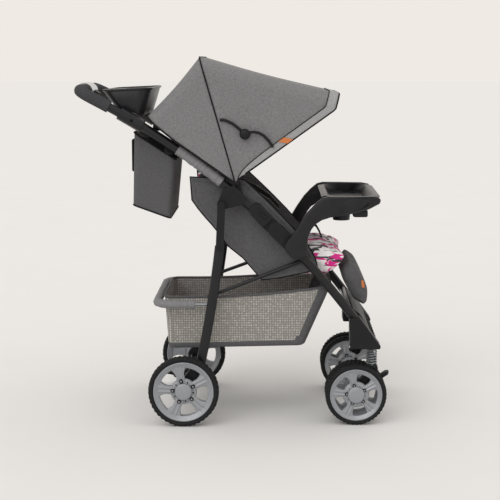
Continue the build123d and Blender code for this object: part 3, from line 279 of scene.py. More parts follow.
def wheel_tyre(name, radius, width, centres):
    """Tyre with square tread blocks, rolled edges and a bead on the rim."""
    bm = bmesh.new()
    inner = radius * RIM_SHARE + 0.0006
    half = width / 2
    profile = [(inner, -half + 0.003), (inner + 0.002, -half), (radius - 0.006, -half),
               (radius - 0.0022, -half + 0.0028), (radius - 0.0014, -half * 0.42),
               (radius - 0.0014, 0.0), (radius - 0.0014, half * 0.42),
               (radius - 0.0022, half - 0.0028), (radius - 0.006, half),
               (inner + 0.002, half), (inner, half - 0.003), (inner, -half + 0.003)]
    turned(bm, profile, TREAD_BLOCKS)
    bmesh.ops.remove_doubles(bm, verts=bm.verts, dist=1e-6)
    bmesh.ops.recalc_face_normals(bm, faces=bm.faces)
    tread = []
    for face in bm.faces:
        middle = face.calc_center_median()
        if math.hypot(middle.x, middle.z) > radius - 0.0042:
            step = int(math.atan2(middle.z, middle.x) / math.tau * TREAD_BLOCKS
                       + TREAD_BLOCKS + 0.5)
            row = 0 if middle.y < 0 else 1
            if (step + row) % 2 == 0:
                tread.append(face)
    bmesh.ops.inset_individual(bm, faces=tread, thickness=0.0005, depth=0.0014)
    copies = []
    for centre in centres[1:]:
        made = bmesh.ops.duplicate(bm, geom=bm.verts[:] + bm.edges[:] + bm.faces[:])
        moved = verts_of(made)
        copies.append((moved, Vector(centre) - Vector(centres[0])))
    for moved, shift in copies:
        bmesh.ops.translate(bm, vec=shift, verts=moved)
    bmesh.ops.translate(bm, vec=centres[0], verts=bm.verts)
    return build(bm, name, rubber)


def wheel_hub(name, radius, width, centres, outward):
    """Rim, flared spokes, hub cap and bolts of one wheel or a twin pair."""
    outer = radius * RIM_SHARE
    half = width / 2 - 0.001
    whole = bmesh.new()
    for centre, out in zip(centres, outward):
        bm = bmesh.new()
        turned(bm, [(outer, -half), (outer, half), (outer - 0.0025, half + 0.0006),
                    (outer * 0.95, half - 0.0008), (outer * 0.822, half - 0.004),
                    (outer * 0.812, half - 0.007), (outer * 0.812, -half + 0.007),
                    (outer * 0.822, -half + 0.004), (outer * 0.95, -half + 0.0008),
                    (outer - 0.0025, -half - 0.0006), (outer, -half)], 72)
        cap = half + 0.003
        turned(bm, [(0.0, -half), (0.013, -half), (0.013, -0.004), (0.034, -0.004), (0.036, 0.0),
                    (0.034, 0.0045), (0.0235, 0.0055), (0.023, cap - 0.0035),
                    (0.0205, cap - 0.0008), (0.015, cap), (0.0, cap)], 48)
        for number in range(SPOKES):
            turn = SPOKE_TURN + number * math.tau / SPOKES
            sections = []
            for step in range(9):
                share = step / 8
                reach = 0.024 + (outer * 0.86 - 0.024) * share
                flare = max(share - 0.45, 0.0) / 0.55
                wide = (0.0112 + 0.0135 * flare ** 1.6) * outer / REAR_RIM
                ridge = (0.0062 + 0.0035 * share) * outer / REAR_RIM
                top = 0.0062 + (half - 0.0104) * share
                sections.append([Vector((reach, y, z)) for y, z in (
                    (-0.006, -wide), (top - 0.0012, -wide), (top, -wide + 0.0012),
                    (top, -ridge), (top + 0.0022, -ridge * 0.72), (top - 0.0006, 0.0),
                    (top + 0.0022, ridge * 0.72), (top, ridge), (top, wide - 0.0012),
                    (top - 0.0012, wide), (-0.006, wide))])
            turning = Matrix.Rotation(-turn, 3, "Y")
            rings = [[bm.verts.new(turning @ spot) for spot in section] for section in sections]
            for near, far in zip(rings, rings[1:]):
                for i in range(len(near)):
                    j = (i + 1) % len(near)
                    bm.faces.new((near[i], near[j], far[j], far[i]))
            bm.faces.new(rings[0])
            bm.faces.new(rings[-1])
            # Finish 1 here is painted shade: the larger disc round each bolt and the small disc
            # between the spokes stand for dark recesses, while the bolt head keeps the silver
            # lacquer.
            for swing, reach, size, height, colour in (
                (0.0, 0.0295, 0.0056, 0.0094, 1), (0.0, 0.0295, 0.0027, 0.0108, 0),
                (math.pi / SPOKES, 0.0268, 0.0019, 0.0066, 1),
            ):
                reach *= outer / REAR_RIM
                size *= outer / REAR_RIM
                place = Matrix.Translation((reach * math.cos(turn + swing), height,
                                            reach * math.sin(turn + swing)))
                bolt = bmesh.ops.create_cone(
                    bm, cap_ends=True, segments=16, radius1=size, radius2=size * 0.9,
                    depth=0.0045, matrix=place @ Matrix.Rotation(-math.pi / 2, 4, "X"))
                for face in {f for v in bolt["verts"] for f in v.link_faces}:
                    face.material_index = colour
        bmesh.ops.remove_doubles(bm, verts=bm.verts, dist=1e-6)
        if out < 0:
            bmesh.ops.scale(bm, vec=(1, -1, 1), verts=bm.verts)
        bmesh.ops.recalc_face_normals(bm, faces=bm.faces)
        bmesh.ops.translate(bm, vec=centre, verts=bm.verts)
        part_mesh = bpy.data.meshes.new("wheel_part")
        bm.to_mesh(part_mesh)
        bm.free()
        whole.from_mesh(part_mesh)
        bpy.data.meshes.remove(part_mesh)
    piece = build(whole, name, lacquer, screw_black_and_recess_shade)
    bevel = piece.modifiers.new("soft_edges", "BEVEL")
    bevel.width = 0.0007
    bevel.segments = 2
    bevel.limit_method = "ANGLE"
    return piece


for side_name, side in (("right", -1), ("left", 1)):
    for label, body, centre, radius, width, offsets in (
        ("rear", f"rear_wheel_{side_name}", (-0.128, side * 0.242, 0.095), 0.095, 0.030, (0.0,)),
        ("front", f"front_wheels_{side_name}", (0.335, side * 0.190, 0.0825), 0.0825, 0.026,
         (-0.029, 0.029)),
    ):
        centres = [(centre[0], centre[1] + y, centre[2]) for y in offsets]
        outward = [side] if len(offsets) == 1 else [-1, 1]
        tyre_node = "rear_tyre_" + side_name if label == "rear" else "front_tyres_" + side_name
        rim_node = "rear_rim_" + side_name if label == "rear" else "front_rims_" + side_name
        tyre = wheel_tyre(f"{label}_tyre_{side_name}_tread", radius, width, centres)
        hub = wheel_hub(f"{label}_hub_{side_name}", radius, width, centres, outward)
        for piece, cad_name, slot in ((tyre, tyre_node, "tyre"), (hub, rim_node, "alloy_plastic")):
            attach(piece, body)
            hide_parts(cad_name)


# Canopy: two fans of coated polyester stretched between the handle arms, the middle bow
# and the front bow. Each fan is one sheet over the roof and down both sides, sewn at the
# bows with piping, and it sinks a little between them.
def cloth(name, colour_low, colour_high, thread, roughness=0.82, coarse=0.35):
    """Woven polyester: crossed threads with a mottled melange colour."""
    made, tree, surface, here = new_finish(name, colour_low, roughness, Sheen_Weight=0.05,
                                     Sheen_Roughness=0.5, Specular_IOR_Level=0.12)
    warp = node(tree, "TexWave", {"Vector": here, "Scale": 1 / thread / 6.2832 * 3.1416,
                                  "Distortion": 0.6}, bands_direction="DIAGONAL")
    weft = node(tree, "TexWave", {"Vector": here, "Scale": 1 / thread / 6.2832 * 3.1416,
                                  "Distortion": 0.6}, bands_direction="Z")
    mottle = node(tree, "TexNoise", {"Vector": here, "Scale": 1 / thread * 0.7, "Detail": 5.0,
                                     "Roughness": 0.7})
    threads = node(tree, "Math", {0: warp.outputs["Fac"], 1: weft.outputs["Fac"]},
                   operation="MULTIPLY")
    share = node(tree, "Math", {0: threads.outputs[0], 1: coarse, 2: mottle.outputs["Fac"]},
                 operation="MULTIPLY_ADD")
    clipped = node(tree, "MapRange", {0: share.outputs[0], 1: 0.35, 2: 0.85})
    node(tree, "Mix", {0: clipped.outputs[0], 6: linear(colour_low), 7: linear(colour_high)},
         surface.inputs["Base Color"], data_type="RGBA")
    node(tree, "Bump", {"Height": share.outputs[0], "Strength": 0.35, "Distance": 0.0005},
         surface.inputs["Normal"])
    return made


THREAD = 0.003
canopy_cloth = cloth("canopy_melange_polyester", "#666668", "#88888A", THREAD)
band_cloth = cloth("light_grey_trim_tape", "#88888A", "#A4A4A5", THREAD)
piping_cloth = cloth("black_bias_piping", "#111112", "#1C1C1E", 0.002)
orange_tape, tree, surface, here = new_finish("orange_woven_tag", "#C4713A", 0.75)
rib = node(tree, "TexWave", {"Vector": here, "Scale": 260.0}, bands_direction="Z")
node(tree, "Mix", {0: rib.outputs["Fac"], 6: linear("#B5642F"), 7: linear("#CF7E48")},
     surface.inputs["Base Color"], data_type="RGBA")

HALF = 0.209
CORNER = 0.042
SIDE_END, CORNER_END = 0.281, 0.343     # shares of the width where a side and its corner end
MM = 0.001


def at(x, y, z):
    """A point given in millimetres."""
    return Vector((x * MM, y * MM, z * MM))


def grid(name, finish, columns, rows, place, thickness=0.0, smooth=True):
    """A sheet whose point at (across, along), both 0 to 1, lies where place says."""
    bm = bmesh.new()
    bmesh.ops.create_grid(bm, x_segments=columns, y_segments=rows, size=1.0)
    for v in bm.verts:
        v.co = place((v.co.x + 1) / 2, (v.co.y + 1) / 2)
    bmesh.ops.remove_doubles(bm, verts=bm.verts, dist=1e-6)
    bmesh.ops.recalc_face_normals(bm, faces=bm.faces)
    if thickness:
        bmesh.ops.solidify(bm, geom=bm.faces[:], thickness=thickness)
    return build(bm, name, finish, smooth=smooth)


def over_bow(across, foot, knee, below, top):
    """Point on a U over a bow: up one side by way of knee, round over below to the roof."""
    mirrored = min(across, 1 - across)
    side = -1 if across <= 0.5 else 1
    if mirrored <= SIDE_END:
        share = mirrored / SIDE_END * 2
        spot = foot.lerp(knee, share) if share < 1 else knee.lerp(below, share - 1)
        return Vector((spot.x, side * HALF, spot.z))
    if mirrored <= CORNER_END:
        angle = (mirrored - SIDE_END) / (CORNER_END - SIDE_END) * math.pi / 2
        spot = below.lerp(top, math.sin(angle))
        return Vector((spot.x, side * (HALF - CORNER * (1 - math.cos(angle))), spot.z))
    share = (mirrored - CORNER_END) / (0.5 - CORNER_END)
    return Vector((top.x, side * (HALF - CORNER) * (1 - share), top.z))


PIVOT = at(14, 0, 655)
FOOT = at(10, 0, 652)
REAR_TOP, REAR_BELOW, REAR_KNEE = at(-224, 0, 826), at(-200, 0, 803), at(-149, 0, 762)
SEAM_TOP, SEAM_BELOW = at(-85, 0, 982), at(-73, 0, 942)
FRONT_TOP, FRONT_BELOW, FRONT_FOOT = at(285, 0, 886), at(274, 0, 846), at(37, 0, 676)


def middle_of(a, b):
    return (a + b) / 2


def sunk(spot, along, depth):
    """Pulls a point of the cloth towards the space under the canopy between its bows."""
    inside = Vector((0.0, 0.0, PIVOT.z + 0.13)) - spot
    return spot + inside.normalized() * depth * math.sin(math.pi * along)


def rear_fan(across, along):
    top = REAR_TOP.lerp(SEAM_TOP, along)
    below = REAR_BELOW.lerp(SEAM_BELOW, along)
    knee = REAR_KNEE.lerp(middle_of(FOOT, SEAM_BELOW), along ** 0.8)
    return sunk(over_bow(across, FOOT, knee, below, top), along, 0.005)


def front_fan(across, along):
    foot = FOOT.lerp(FRONT_FOOT, along)
    top = SEAM_TOP.lerp(FRONT_TOP, along)
    below = SEAM_BELOW.lerp(FRONT_BELOW, along)
    return sunk(over_bow(across, foot, middle_of(foot, below), below, top), along, 0.006)


BAND_WIDTH = 0.026


def front_band(across, along):
    fan = (front_fan(across, 1.0) - front_fan(across, 0.0)).length
    start = 1 - min(BAND_WIDTH / fan, 1.0)
    spot = front_fan(across, start + (1 - start) * along)
    over = min(max(CORNER_END - min(across, 1 - across), 0.0) / 0.062, 1.0)
    side = -1 if across <= 0.5 else 1
    return spot + Vector((0.0, side * 0.0018 * over, 0.0018 * (1 - over)))


def piping(name, points, radius, finish, closed=False):
    """A thin round cord sewn along these points, made a mesh."""
    line = bpy.data.curves.new(name, "CURVE")
    line.dimensions = "3D"
    line.bevel_depth = radius
    line.bevel_resolution = 2
    run = line.splines.new("POLY")
    run.points.add(len(points) - 1)
    for spot, knot in zip(points, run.points):
        knot.co = (*spot, 1.0)
    run.use_cyclic_u = closed
    line.use_fill_caps = True
    holder = bpy.data.objects.new(name + "_line", line)
    bpy.context.collection.objects.link(holder)
    bpy.context.view_layer.update()
    graph = bpy.context.evaluated_depsgraph_get()
    mesh = bpy.data.meshes.new_from_object(holder.evaluated_get(graph))
    mesh.name = name
    bpy.data.objects.remove(holder)
    bpy.data.curves.remove(line)
    mesh.materials.clear()
    mesh.materials.append(finish)
    mesh.shade_smooth()
    piece = bpy.data.objects.new(name, mesh)
    bpy.context.collection.objects.link(piece)
    return piece


def row_of(place, along, count=120):
    return [place(i / count, along) for i in range(count + 1)]


SHEET_THICKNESS = 0.0016
canopy_rear = grid("canopy_rear_fan", canopy_cloth, 128, 20, rear_fan, SHEET_THICKNESS)
canopy_front = grid("canopy_front_fan", canopy_cloth, 128, 30, front_fan, SHEET_THICKNESS)
canopy_band = grid("canopy_front_band", band_cloth, 128, 4, front_band, 0.0008)
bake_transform(canopy_rear)
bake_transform(canopy_front)
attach(canopy_band, "front_bow")
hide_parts("canopy_rear_panel")
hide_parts("canopy_front_panel")
seam_cord = piping("canopy_seam_piping", row_of(rear_fan, 1.0), 0.002, piping_cloth)
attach(seam_cord, "middle_bow")
hem_cord = piping("canopy_rear_piping", row_of(rear_fan, 0.0), 0.0024, piping_cloth)
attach(hem_cord, "handle_frame")
edge_cord = piping("canopy_front_piping", row_of(front_fan, 1.0), 0.0024, piping_cloth)
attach(edge_cord, "front_bow")
inner_cord = piping("canopy_band_piping", row_of(front_band, 0.0), 0.0012, piping_cloth)
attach(inner_cord, "front_bow")


# Seat sides: foam-backed polyester panels that hang from the handle arms down to the seat
# bars, edged with piping all round and quilted by one line of stitching inside the edge.
dark_cloth = cloth("dark_grey_polyester", "#4A4A4C", "#626264", THREAD)
SIDE_OUTLINE = [(-112, 664), (-109, 632), (-107, 602), (-90, 578), (-72, 556), (-55, 537),
                (-38, 516), (-11, 478), (30, 445), (81, 385), (118, 389), (156, 397),
                (196, 405), (232, 415), (226, 440), (216, 462), (200, 486), (183, 506),
                (148, 545), (110, 584), (72, 621), (35, 656), (0, 660), (-56, 661)]


def outline_panel(name, outline, y, thickness, finish, inset, swell):
    """A flat padded panel with this side view outline and a sewn line inside its edge."""
    bm = bmesh.new()
    face = bm.faces.new([bm.verts.new(at(x, y * 1000, z)) for x, z in outline])
    out = Vector((0, 1 if y > 0 else -1, 0))
    bmesh.ops.recalc_face_normals(bm, faces=[face])
    made = bmesh.ops.extrude_face_region(bm, geom=[face])
    top = [g for g in made["geom"] if isinstance(g, bmesh.types.BMFace)]
    bmesh.ops.translate(bm, vec=out * thickness,
                        verts=verts_of(made))
    bmesh.ops.inset_region(bm, faces=top, thickness=inset, depth=0.0)
    bmesh.ops.inset_region(bm, faces=top, thickness=0.003, depth=0.0)
    bmesh.ops.translate(bm, vec=out * -0.0012, verts=list({v for f in top for v in f.verts}))
    bmesh.ops.inset_region(bm, faces=top, thickness=0.006, depth=0.0)
    bmesh.ops.translate(bm, vec=out * swell, verts=list({v for f in top for v in f.verts}))
    bmesh.ops.recalc_face_normals(bm, faces=bm.faces)
    return build(bm, name, finish, smooth=False)


for side_name, side in (("right", -1), ("left", 1)):
    panel = outline_panel(f"seat_side_cloth_{side_name}", SIDE_OUTLINE, side * 0.1615, 0.0035,
                          dark_cloth, 0.010, 0.0016)
    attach(panel, "front_frame")
    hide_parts(f"seat_side_{side_name}")
    edge = piping(f"seat_side_piping_{side_name}",
                  [at(x, side * 163.5, z) for x, z in SIDE_OUTLINE], 0.0022, piping_cloth, True)
    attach(edge, "front_frame")


# Seat cushion, back pad and leg rest: foam under woven polyester. The first two are printed
# white with brush strokes of pink and dark grey, and the leg rest is plain dark grey.
print_cloth, tree, surface, here = new_finish("brush_stroke_print_polyester", "#EDEBEC", 0.85,
                                        Sheen_Weight=0.1)
slant = node(tree, "Mapping", {"Vector": here, "Rotation": (0.6, 0.5, 0.7),
                               "Scale": (16.0, 42.0, 58.0)})
strokes = node(tree, "TexNoise", {"Vector": slant.outputs[0], "Scale": 1.0, "Detail": 1.0,
                                  "Distortion": 0.8})
other = node(tree, "Mapping", {"Vector": here, "Location": (3.1, 1.7, 0.4),
                               "Rotation": (0.9, 0.4, 0.5), "Scale": (20.0, 46.0, 70.0)})
marks = node(tree, "TexNoise", {"Vector": other.outputs[0], "Scale": 1.0, "Detail": 1.0,
                                "Distortion": 0.8})
pink = node(tree, "MapRange", {0: strokes.outputs["Fac"], 1: 0.525, 2: 0.55})
grey = node(tree, "MapRange", {0: marks.outputs["Fac"], 1: 0.565, 2: 0.59})
with_pink = node(tree, "Mix", {0: pink.outputs[0], 6: linear("#F1EFF0"), 7: linear("#D8288A")},
                 data_type="RGBA")
node(tree, "Mix", {0: grey.outputs[0], 6: with_pink.outputs[2], 7: linear("#3B3B40")},
     surface.inputs["Base Color"], data_type="RGBA")
knit = node(tree, "TexNoise", {"Vector": here, "Scale": 420.0, "Detail": 3.0})
node(tree, "Bump", {"Height": knit.outputs["Fac"], "Strength": 0.3, "Distance": 0.0005},
     surface.inputs["Normal"])


def slab(name, outline, half_width, edge, finish):
    """A block with this side view outline, rounded all over, before it is stuffed."""
    bm = bmesh.new()
    face = bm.faces.new([bm.verts.new(at(x, -half_width, z)) for x, z in outline])
    made = bmesh.ops.extrude_face_region(bm, geom=[face])
    bmesh.ops.translate(bm, vec=(0, 2 * half_width * MM, 0),
                        verts=verts_of(made))
    bmesh.ops.recalc_face_normals(bm, faces=bm.faces)
    bmesh.ops.bevel(bm, geom=bm.edges[:], offset=edge * MM, segments=3, profile=0.5,
                    affect="EDGES", material=-1, clamp_overlap=True)
    return build(bm, name, finish)


def stuffed(piece, voxel, cap, pressure=4.0):
    """Blows the block up like a sewn cover full of foam, within cap of where it was."""
    remesh = piece.modifiers.new("even_cloth", "REMESH")
    remesh.mode = "VOXEL"
    remesh.voxel_size = voxel
    start = [v.co.copy() for v in applied(piece).vertices]
    cover = piece.modifiers.new("cover", "CLOTH")
    cover.settings.use_pressure = True
    cover.settings.uniform_pressure_force = pressure
    cover.settings.effector_weights.gravity = 0.0
    cover.point_cache.frame_start = 1
    cover.point_cache.frame_end = 20
    for step in range(1, 21):
        bpy.context.scene.frame_set(step)
    for v, was in zip(applied(piece).vertices, start):
        move = v.co - was
        if move.length > cap:
            v.co = was + move.normalized() * cap
    bpy.context.scene.frame_set(1)
    piece.data.shade_smooth()
    smooth = piece.modifiers.new("even_skin", "SUBSURF")
    smooth.levels = 1
    smooth.render_levels = 1
    applied(piece).shade_smooth()


def sewn(piece, distance, depth, width):
    """Presses a stitched channel into a stuffed piece where distance(point) is near 0."""
    outward = [v.normal.copy() for v in piece.data.vertices]
    for v, out in zip(piece.data.vertices, outward):
        near = distance(v.co) / width
        if abs(near) < 3:
            v.co = v.co - out * depth * math.exp(-near * near)
    piece.data.update()


cushion = slab("seat_cushion_pad", [
    (112, 398), (216, 402), (266, 402), (292, 426), (307, 446), (304, 454), (274, 467),
    (240, 474), (205, 471), (152, 446), (112, 424)], 152, 8, print_cloth)
stuffed(cushion, 0.0055, 0.009)
sewn(cushion, lambda p: abs(p.y) - 0.055, 0.0035, 0.005)
sewn(cushion, lambda p: p.x - 0.265, 0.003, 0.005)
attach(cushion, "front_frame")
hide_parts("seat_cushion")

back_pad = slab("backrest_pad", [
    (88, 400), (-78, 640), (-94, 688), (-79, 696), (-62, 660), (100, 414)], 148, 7, print_cloth)
stuffed(back_pad, 0.006, 0.008)
sewn(back_pad, lambda p: abs(p.y) - 0.06, 0.003, 0.005)
for height in (0.48, 0.55, 0.62):
    sewn(back_pad, lambda p: p.z - height, 0.003, 0.005)
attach(back_pad, "seat_back")
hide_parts("backrest")

leg_rest = slab("leg_rest_pad", [
    (318, 430), (326, 428), (342, 404), (357, 373), (365, 350), (366, 318), (356, 308),
    (334, 332), (304, 388), (302, 408)], 143, 6, dark_cloth)
stuffed(leg_rest, 0.0055, 0.006)
sewn(leg_rest, lambda p: abs(p.y) - 0.05, 0.0025, 0.004)
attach(leg_rest, "calf_rest")
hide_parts("footrest")


# Basket: knitted mesh sides over a stiff dark floor, bound with grey tape along the top
# and down the front corners. It hangs open under the seat.
mesh_cloth, tree, surface, here = new_finish("knitted_basket_mesh", "#B4B2AE", 0.85,
                                       Specular_IOR_Level=0.1)
MESH_HOLE = 0.0065        # real holes are near 2 mm; drawn coarser so that they show
holes = node(tree, "TexVoronoi", {"Vector": here, "Scale": 1 / MESH_HOLE, "Randomness": 0.15})
net = node(tree, "MapRange", {0: holes.outputs["Distance"], 1: 0.28, 2: 0.46})
node(tree, "Mix", {0: net.outputs[0], 6: linear("#C9C6C0"), 7: linear("#85837F")},
     surface.inputs["Base Color"], data_type="RGBA")
node(tree, "Bump", {"Height": net.outputs[0], "Strength": 0.6, "Distance": 0.0008},
     surface.inputs["Normal"])


WALL_SHARE = 0.72         # how much of the way down a shell is wall; the rest is its floor


def shell_point(around, down, top_rear, top_front, low_rear, low_front, half, corner, bulge):
    """Point of an open-topped bag: around its rounded plan, and down its wall to the floor."""
    wall = min(down / WALL_SHARE, 1.0)
    inward = max((down - WALL_SHARE) / 0.28, 0.0)
    long = (top_front - top_rear).length / 2
    run_long, run_wide = 2 * (long - corner), 2 * (half - corner)
    bend = corner * math.pi / 2
    total = 2 * run_long + 2 * run_wide + 4 * bend
    s = (around % 1.0) * total
    pieces = [("x", run_long, -1), ("c", bend, 0), ("y", run_wide, 1), ("c", bend, 1),
              ("x", run_long, 1), ("c", bend, 2), ("y", run_wide, -1), ("c", bend, 3)]
    x = y = 0.0
    for kind, length, sign in pieces:
        if s > length:
            s -= length
            continue
        if kind == "x":
            x = (-(long - corner) + s) * -sign
            y = half * sign
        elif kind == "y":
            x = long * sign
            y = (-(half - corner) + s) * sign
        else:
            centre_x = (long - corner) * (1 if sign in (0, 1) else -1)
            centre_y = (half - corner) * (-1 if sign in (0, 3) else 1)
            start = {0: -math.pi / 2, 1: 0.0, 2: math.pi / 2, 3: math.pi}[sign]
            angle = start + s / corner
            x = centre_x + corner * math.cos(angle)
            y = centre_y + corner * math.sin(angle)
        break
    share = (x / long + 1) / 2
    top = top_rear.lerp(top_front, share)
    low = low_rear.lerp(low_front, share)
    spot = top.lerp(low, wall)
    swell = bulge * math.sin(math.pi * wall)
    spot.y = y + (swell if y > 0 else -swell) * min(1.0, abs(y) / half)
    if wall >= 1.0:
        shrink = 1 - inward
        middle = (low_rear + low_front) / 2
        spot = middle + (spot - middle) * max(shrink, 0.0)
    return spot


BASKET = (at(-184, 0, 338), at(268, 0, 368), at(-174, 0, 196), at(197, 0, 205), 0.1665, 0.022,
          0.0)


def basket_place(around, down):
    spot = shell_point(around, down, *BASKET)
    dip = 0.0
    if down < 0.3:
        dip = 0.010 * math.sin(math.pi * (spot.x + 0.184) / 0.452) * (1 - down / 0.3)
    return spot - Vector((0, 0, dip))


bm = bmesh.new()
bmesh.ops.create_grid(bm, x_segments=200, y_segments=40, size=1.0)
for v in bm.verts:
    v.co = basket_place((v.co.x + 1) / 2, (v.co.y + 1) / 2)
bmesh.ops.remove_doubles(bm, verts=bm.verts, dist=2e-5)
bmesh.ops.recalc_face_normals(bm, faces=bm.faces)
for face in bm.faces:
    middle = face.calc_center_median()
    front_line = 0.197 + (middle.z - 0.205) / (0.368 - 0.205) * 0.071
    on_floor = abs(face.normal.z) > 0.8
    near_front = middle.x > front_line - 0.030
    near_base = middle.z < 0.212 + (middle.x + 0.174) * 0.03
    face.material_index = 1 if on_floor else (2 if near_front or near_base else 0)
bmesh.ops.solidify(bm, geom=bm.faces[:], thickness=0.0016)
basket = build(bm, "basket_mesh", mesh_cloth, dark_cloth, dark_cloth)
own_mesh(basket)
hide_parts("basket")
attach(basket, "front_frame")
rim_cord = piping("basket_rim_tape", [basket_place(i / 160, 0.0) for i in range(160)], 0.0035,
                  dark_cloth, True)
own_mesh(rim_cord)
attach(rim_cord, "front_frame")


# Parent tray: a bowl moulded in one piece, with a rolled rim, two cup wells and a flat well
# between them. A split sleeve each side clamps it to the handle arm with one screw.
TRAY = (at(-344, 0, 893), at(-215, 0, 899), at(-312, 0, 850), at(-237, 0, 826), 0.172, 0.030,
        0.004)
CLAMP_RADIUS = 0.0178


def tray_place(around, down):
    edge = shell_point(around, max(down - 0.2, 0.0) / 0.8, *TRAY)
    return edge if down >= 0.2 else middle_of(TRAY[0], TRAY[1]).lerp(edge, down / 0.2)


tray = grid("parent_tray_bowl", gloss, 144, 50, tray_place)
for label, size, place in (
    ("cup_right", (0.036, 0.034, 0.044), at(-277, -95, 902)),
    ("cup_left", (0.036, 0.034, 0.044), at(-277, 95, 902)),
    ("well", (0.047, 0.047, 0.022), at(-281, 0, 902)),
):
    bm = bmesh.new()
    if label == "well":
        bmesh.ops.create_cube(bm, size=2.0)
        bmesh.ops.scale(bm, vec=size, verts=bm.verts)
        bmesh.ops.bevel(bm, geom=bm.edges[:], offset=0.01, segments=4, profile=0.5,
                        affect="EDGES", material=-1)
    else:
        bmesh.ops.create_cone(bm, cap_ends=True, segments=48, radius1=size[1], radius2=size[0],
                              depth=2 * size[2])
    bmesh.ops.translate(bm, vec=place, verts=bm.verts)
    cutter = build(bm, label, gloss)
    cut = tray.modifiers.new(label, "BOOLEAN")
    cut.operation = "DIFFERENCE"
    cut.object = cutter
    applied(tray)
    bpy.data.objects.remove(cutter)
soften = tray.modifiers.new("moulded_edges", "BEVEL")
soften.width = 0.0012
soften.segments = 2
soften.limit_method = "ANGLE"
soften.angle_limit = math.radians(40)
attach(tray, "handle_frame")
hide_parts("parent_tray")
rolled = piping("parent_tray_rim", [shell_point(i / 160, 0.0, *TRAY) for i in range(160)], 0.0032,
                gloss, True)
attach(rolled, "handle_frame")

# Child tray: the same polished moulding, a shallow dish with rolled rims that runs down
# each side into an arm. A ring under its front holds a cup.
DISH = (at(240, 0, 612), at(398, 0, 612), at(262, 0, 566), at(372, 0, 580), 0.226, 0.074, 0.002)
DISH_WELL = (at(256, 0, 617), at(380, 0, 617), at(272, 0, 590), at(364, 0, 590), 0.202, 0.060,
             0.0)


def dish_place(around, down):
    if down < 0.42:
        return shell_point(around, 1 - down / 0.42, *DISH_WELL)
    return shell_point(around, (down - 0.42) / 0.58, *DISH)


dish = grid("child_tray_dish", gloss, 144, 64, dish_place)
ARM = [(141, 486), (146, 470), (158, 456), (172, 449), (184, 449), (196, 458), (204, 474),
       (202, 492), (204, 512), (213, 531), (223, 544), (240, 555), (262, 562), (290, 566),
       (330, 574), (366, 584), (394, 596), (398, 606), (390, 614), (372, 617), (300, 617),
       (256, 617), (240, 613), (222, 598), (202, 577), (182, 548), (164, 518), (150, 501)]
arms = []
for side_name, side in (("right", -1), ("left", 1)):
    bm = bmesh.new()
    face = bm.faces.new([bm.verts.new(at(x, side * 211.4, z)) for x, z in ARM])
    made = bmesh.ops.extrude_face_region(bm, geom=[face])
    bmesh.ops.translate(bm, vec=(0.0, side * 0.0192, 0.0),
                        verts=verts_of(made))
    bmesh.ops.recalc_face_normals(bm, faces=bm.faces)
    for v in bm.verts:
        reach = max((v.co.x - 0.33) / 0.068, 0.0)
        if abs(v.co.y) > 0.22:
            v.co.y -= side * 0.03 * reach ** 2
        else:
            v.co.y -= side * 0.024 * reach ** 2
    bmesh.ops.bevel(bm, geom=[e for e in bm.edges if abs(e.calc_face_angle(0)) > 0.9],
                    offset=0.0045, segments=4, profile=0.5, affect="EDGES", material=-1,
                    clamp_overlap=True)
    arms.append(build(bm, f"child_tray_arm_{side_name}", gloss))
cup = bmesh.new()
bmesh.ops.create_cone(cup, cap_ends=True, segments=48, radius1=0.0235, radius2=0.0265,
                      depth=0.044, matrix=Matrix.Translation(at(302, 0, 552)))
bmesh.ops.bevel(cup, geom=cup.edges[:], offset=0.002, segments=3, profile=0.5, affect="EDGES",
                material=-1)
arms.append(build(cup, "child_tray_cup", gloss))
holder = bmesh.new()
bmesh.ops.create_cube(holder, size=1.0)
bmesh.ops.scale(holder, vec=(0.040, 0.040, 0.020), verts=holder.verts)
bmesh.ops.translate(holder, vec=at(345, -150, 566), verts=holder.verts)
bmesh.ops.bevel(holder, geom=holder.edges[:], offset=0.005, segments=3, profile=0.5,
                affect="EDGES", material=-1)
arms.append(build(holder, "child_tray_latch", gloss))
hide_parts("child_tray")
for piece in [dish] + arms:
    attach(piece, "tray")

# Storage bag: an open-topped bag of dark polyester that hangs behind the seat from four
# tabs on the handle arms, with piping round its rim and a flat pocket behind.
BAG = (at(-262, 0, 782), at(-151, 0, 710), at(-267, 0, 586), at(-166, 0, 550), 0.158, 0.016,
       0.001)
bag = grid("storage_bag_shell", dark_cloth, 160, 40,
           lambda around, down: shell_point(around, down, *BAG), 0.002)
bag_rim = piping("storage_bag_rim", [shell_point(i / 160, 0.0, *BAG) for i in range(160)],
                 0.0028, piping_cloth, True)
bag_base = piping("storage_bag_base_piping",
                  [shell_point(i / 160, 0.715, *BAG) for i in range(160)], 0.002, piping_cloth,
                  True)
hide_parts("storage_bag")
for piece in (bag, bag_rim, bag_base):
    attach(piece, "handle_frame")


# Bag fittings: four webbing tabs hold the bag to the arms, and a flat black pocket lies on
# the face that looks backwards.
bm = bmesh.new()
bmesh.ops.create_cube(bm, size=1.0)
bmesh.ops.scale(bm, vec=(0.010, 0.230, 0.088), verts=bm.verts)
bmesh.ops.bevel(bm, geom=bm.edges[:], offset=0.004, segments=3, profile=0.5, affect="EDGES",
                material=-1)
bmesh.ops.translate(bm, vec=at(-268, 0, 718), verts=bm.verts)
pocket = build(bm, "storage_bag_pocket_flap", piping_cloth)
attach(pocket, "handle_frame")
for side_name, side in (("right", -1), ("left", 1)):
    for label, low, high in (("rear", (-232, 772), (-226, 790)),
                             ("front", (-172, 726), (-166, 742))):
        bm = bmesh.new()
        bmesh.ops.create_cube(bm, size=1.0)
        bmesh.ops.scale(bm, vec=(0.022, 0.026, 0.002), verts=bm.verts)
        turn = Matrix.Rotation(math.radians(side * 50), 4, "X")
        bmesh.ops.transform(bm, verts=bm.verts, matrix=Matrix.Translation(
            at((low[0] + high[0]) / 2, side * 168, (low[1] + high[1]) / 2)) @ turn)
        tab = build(bm, f"bag_tab_{label}_{side_name}", piping_cloth)
        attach(tab, "handle_frame")


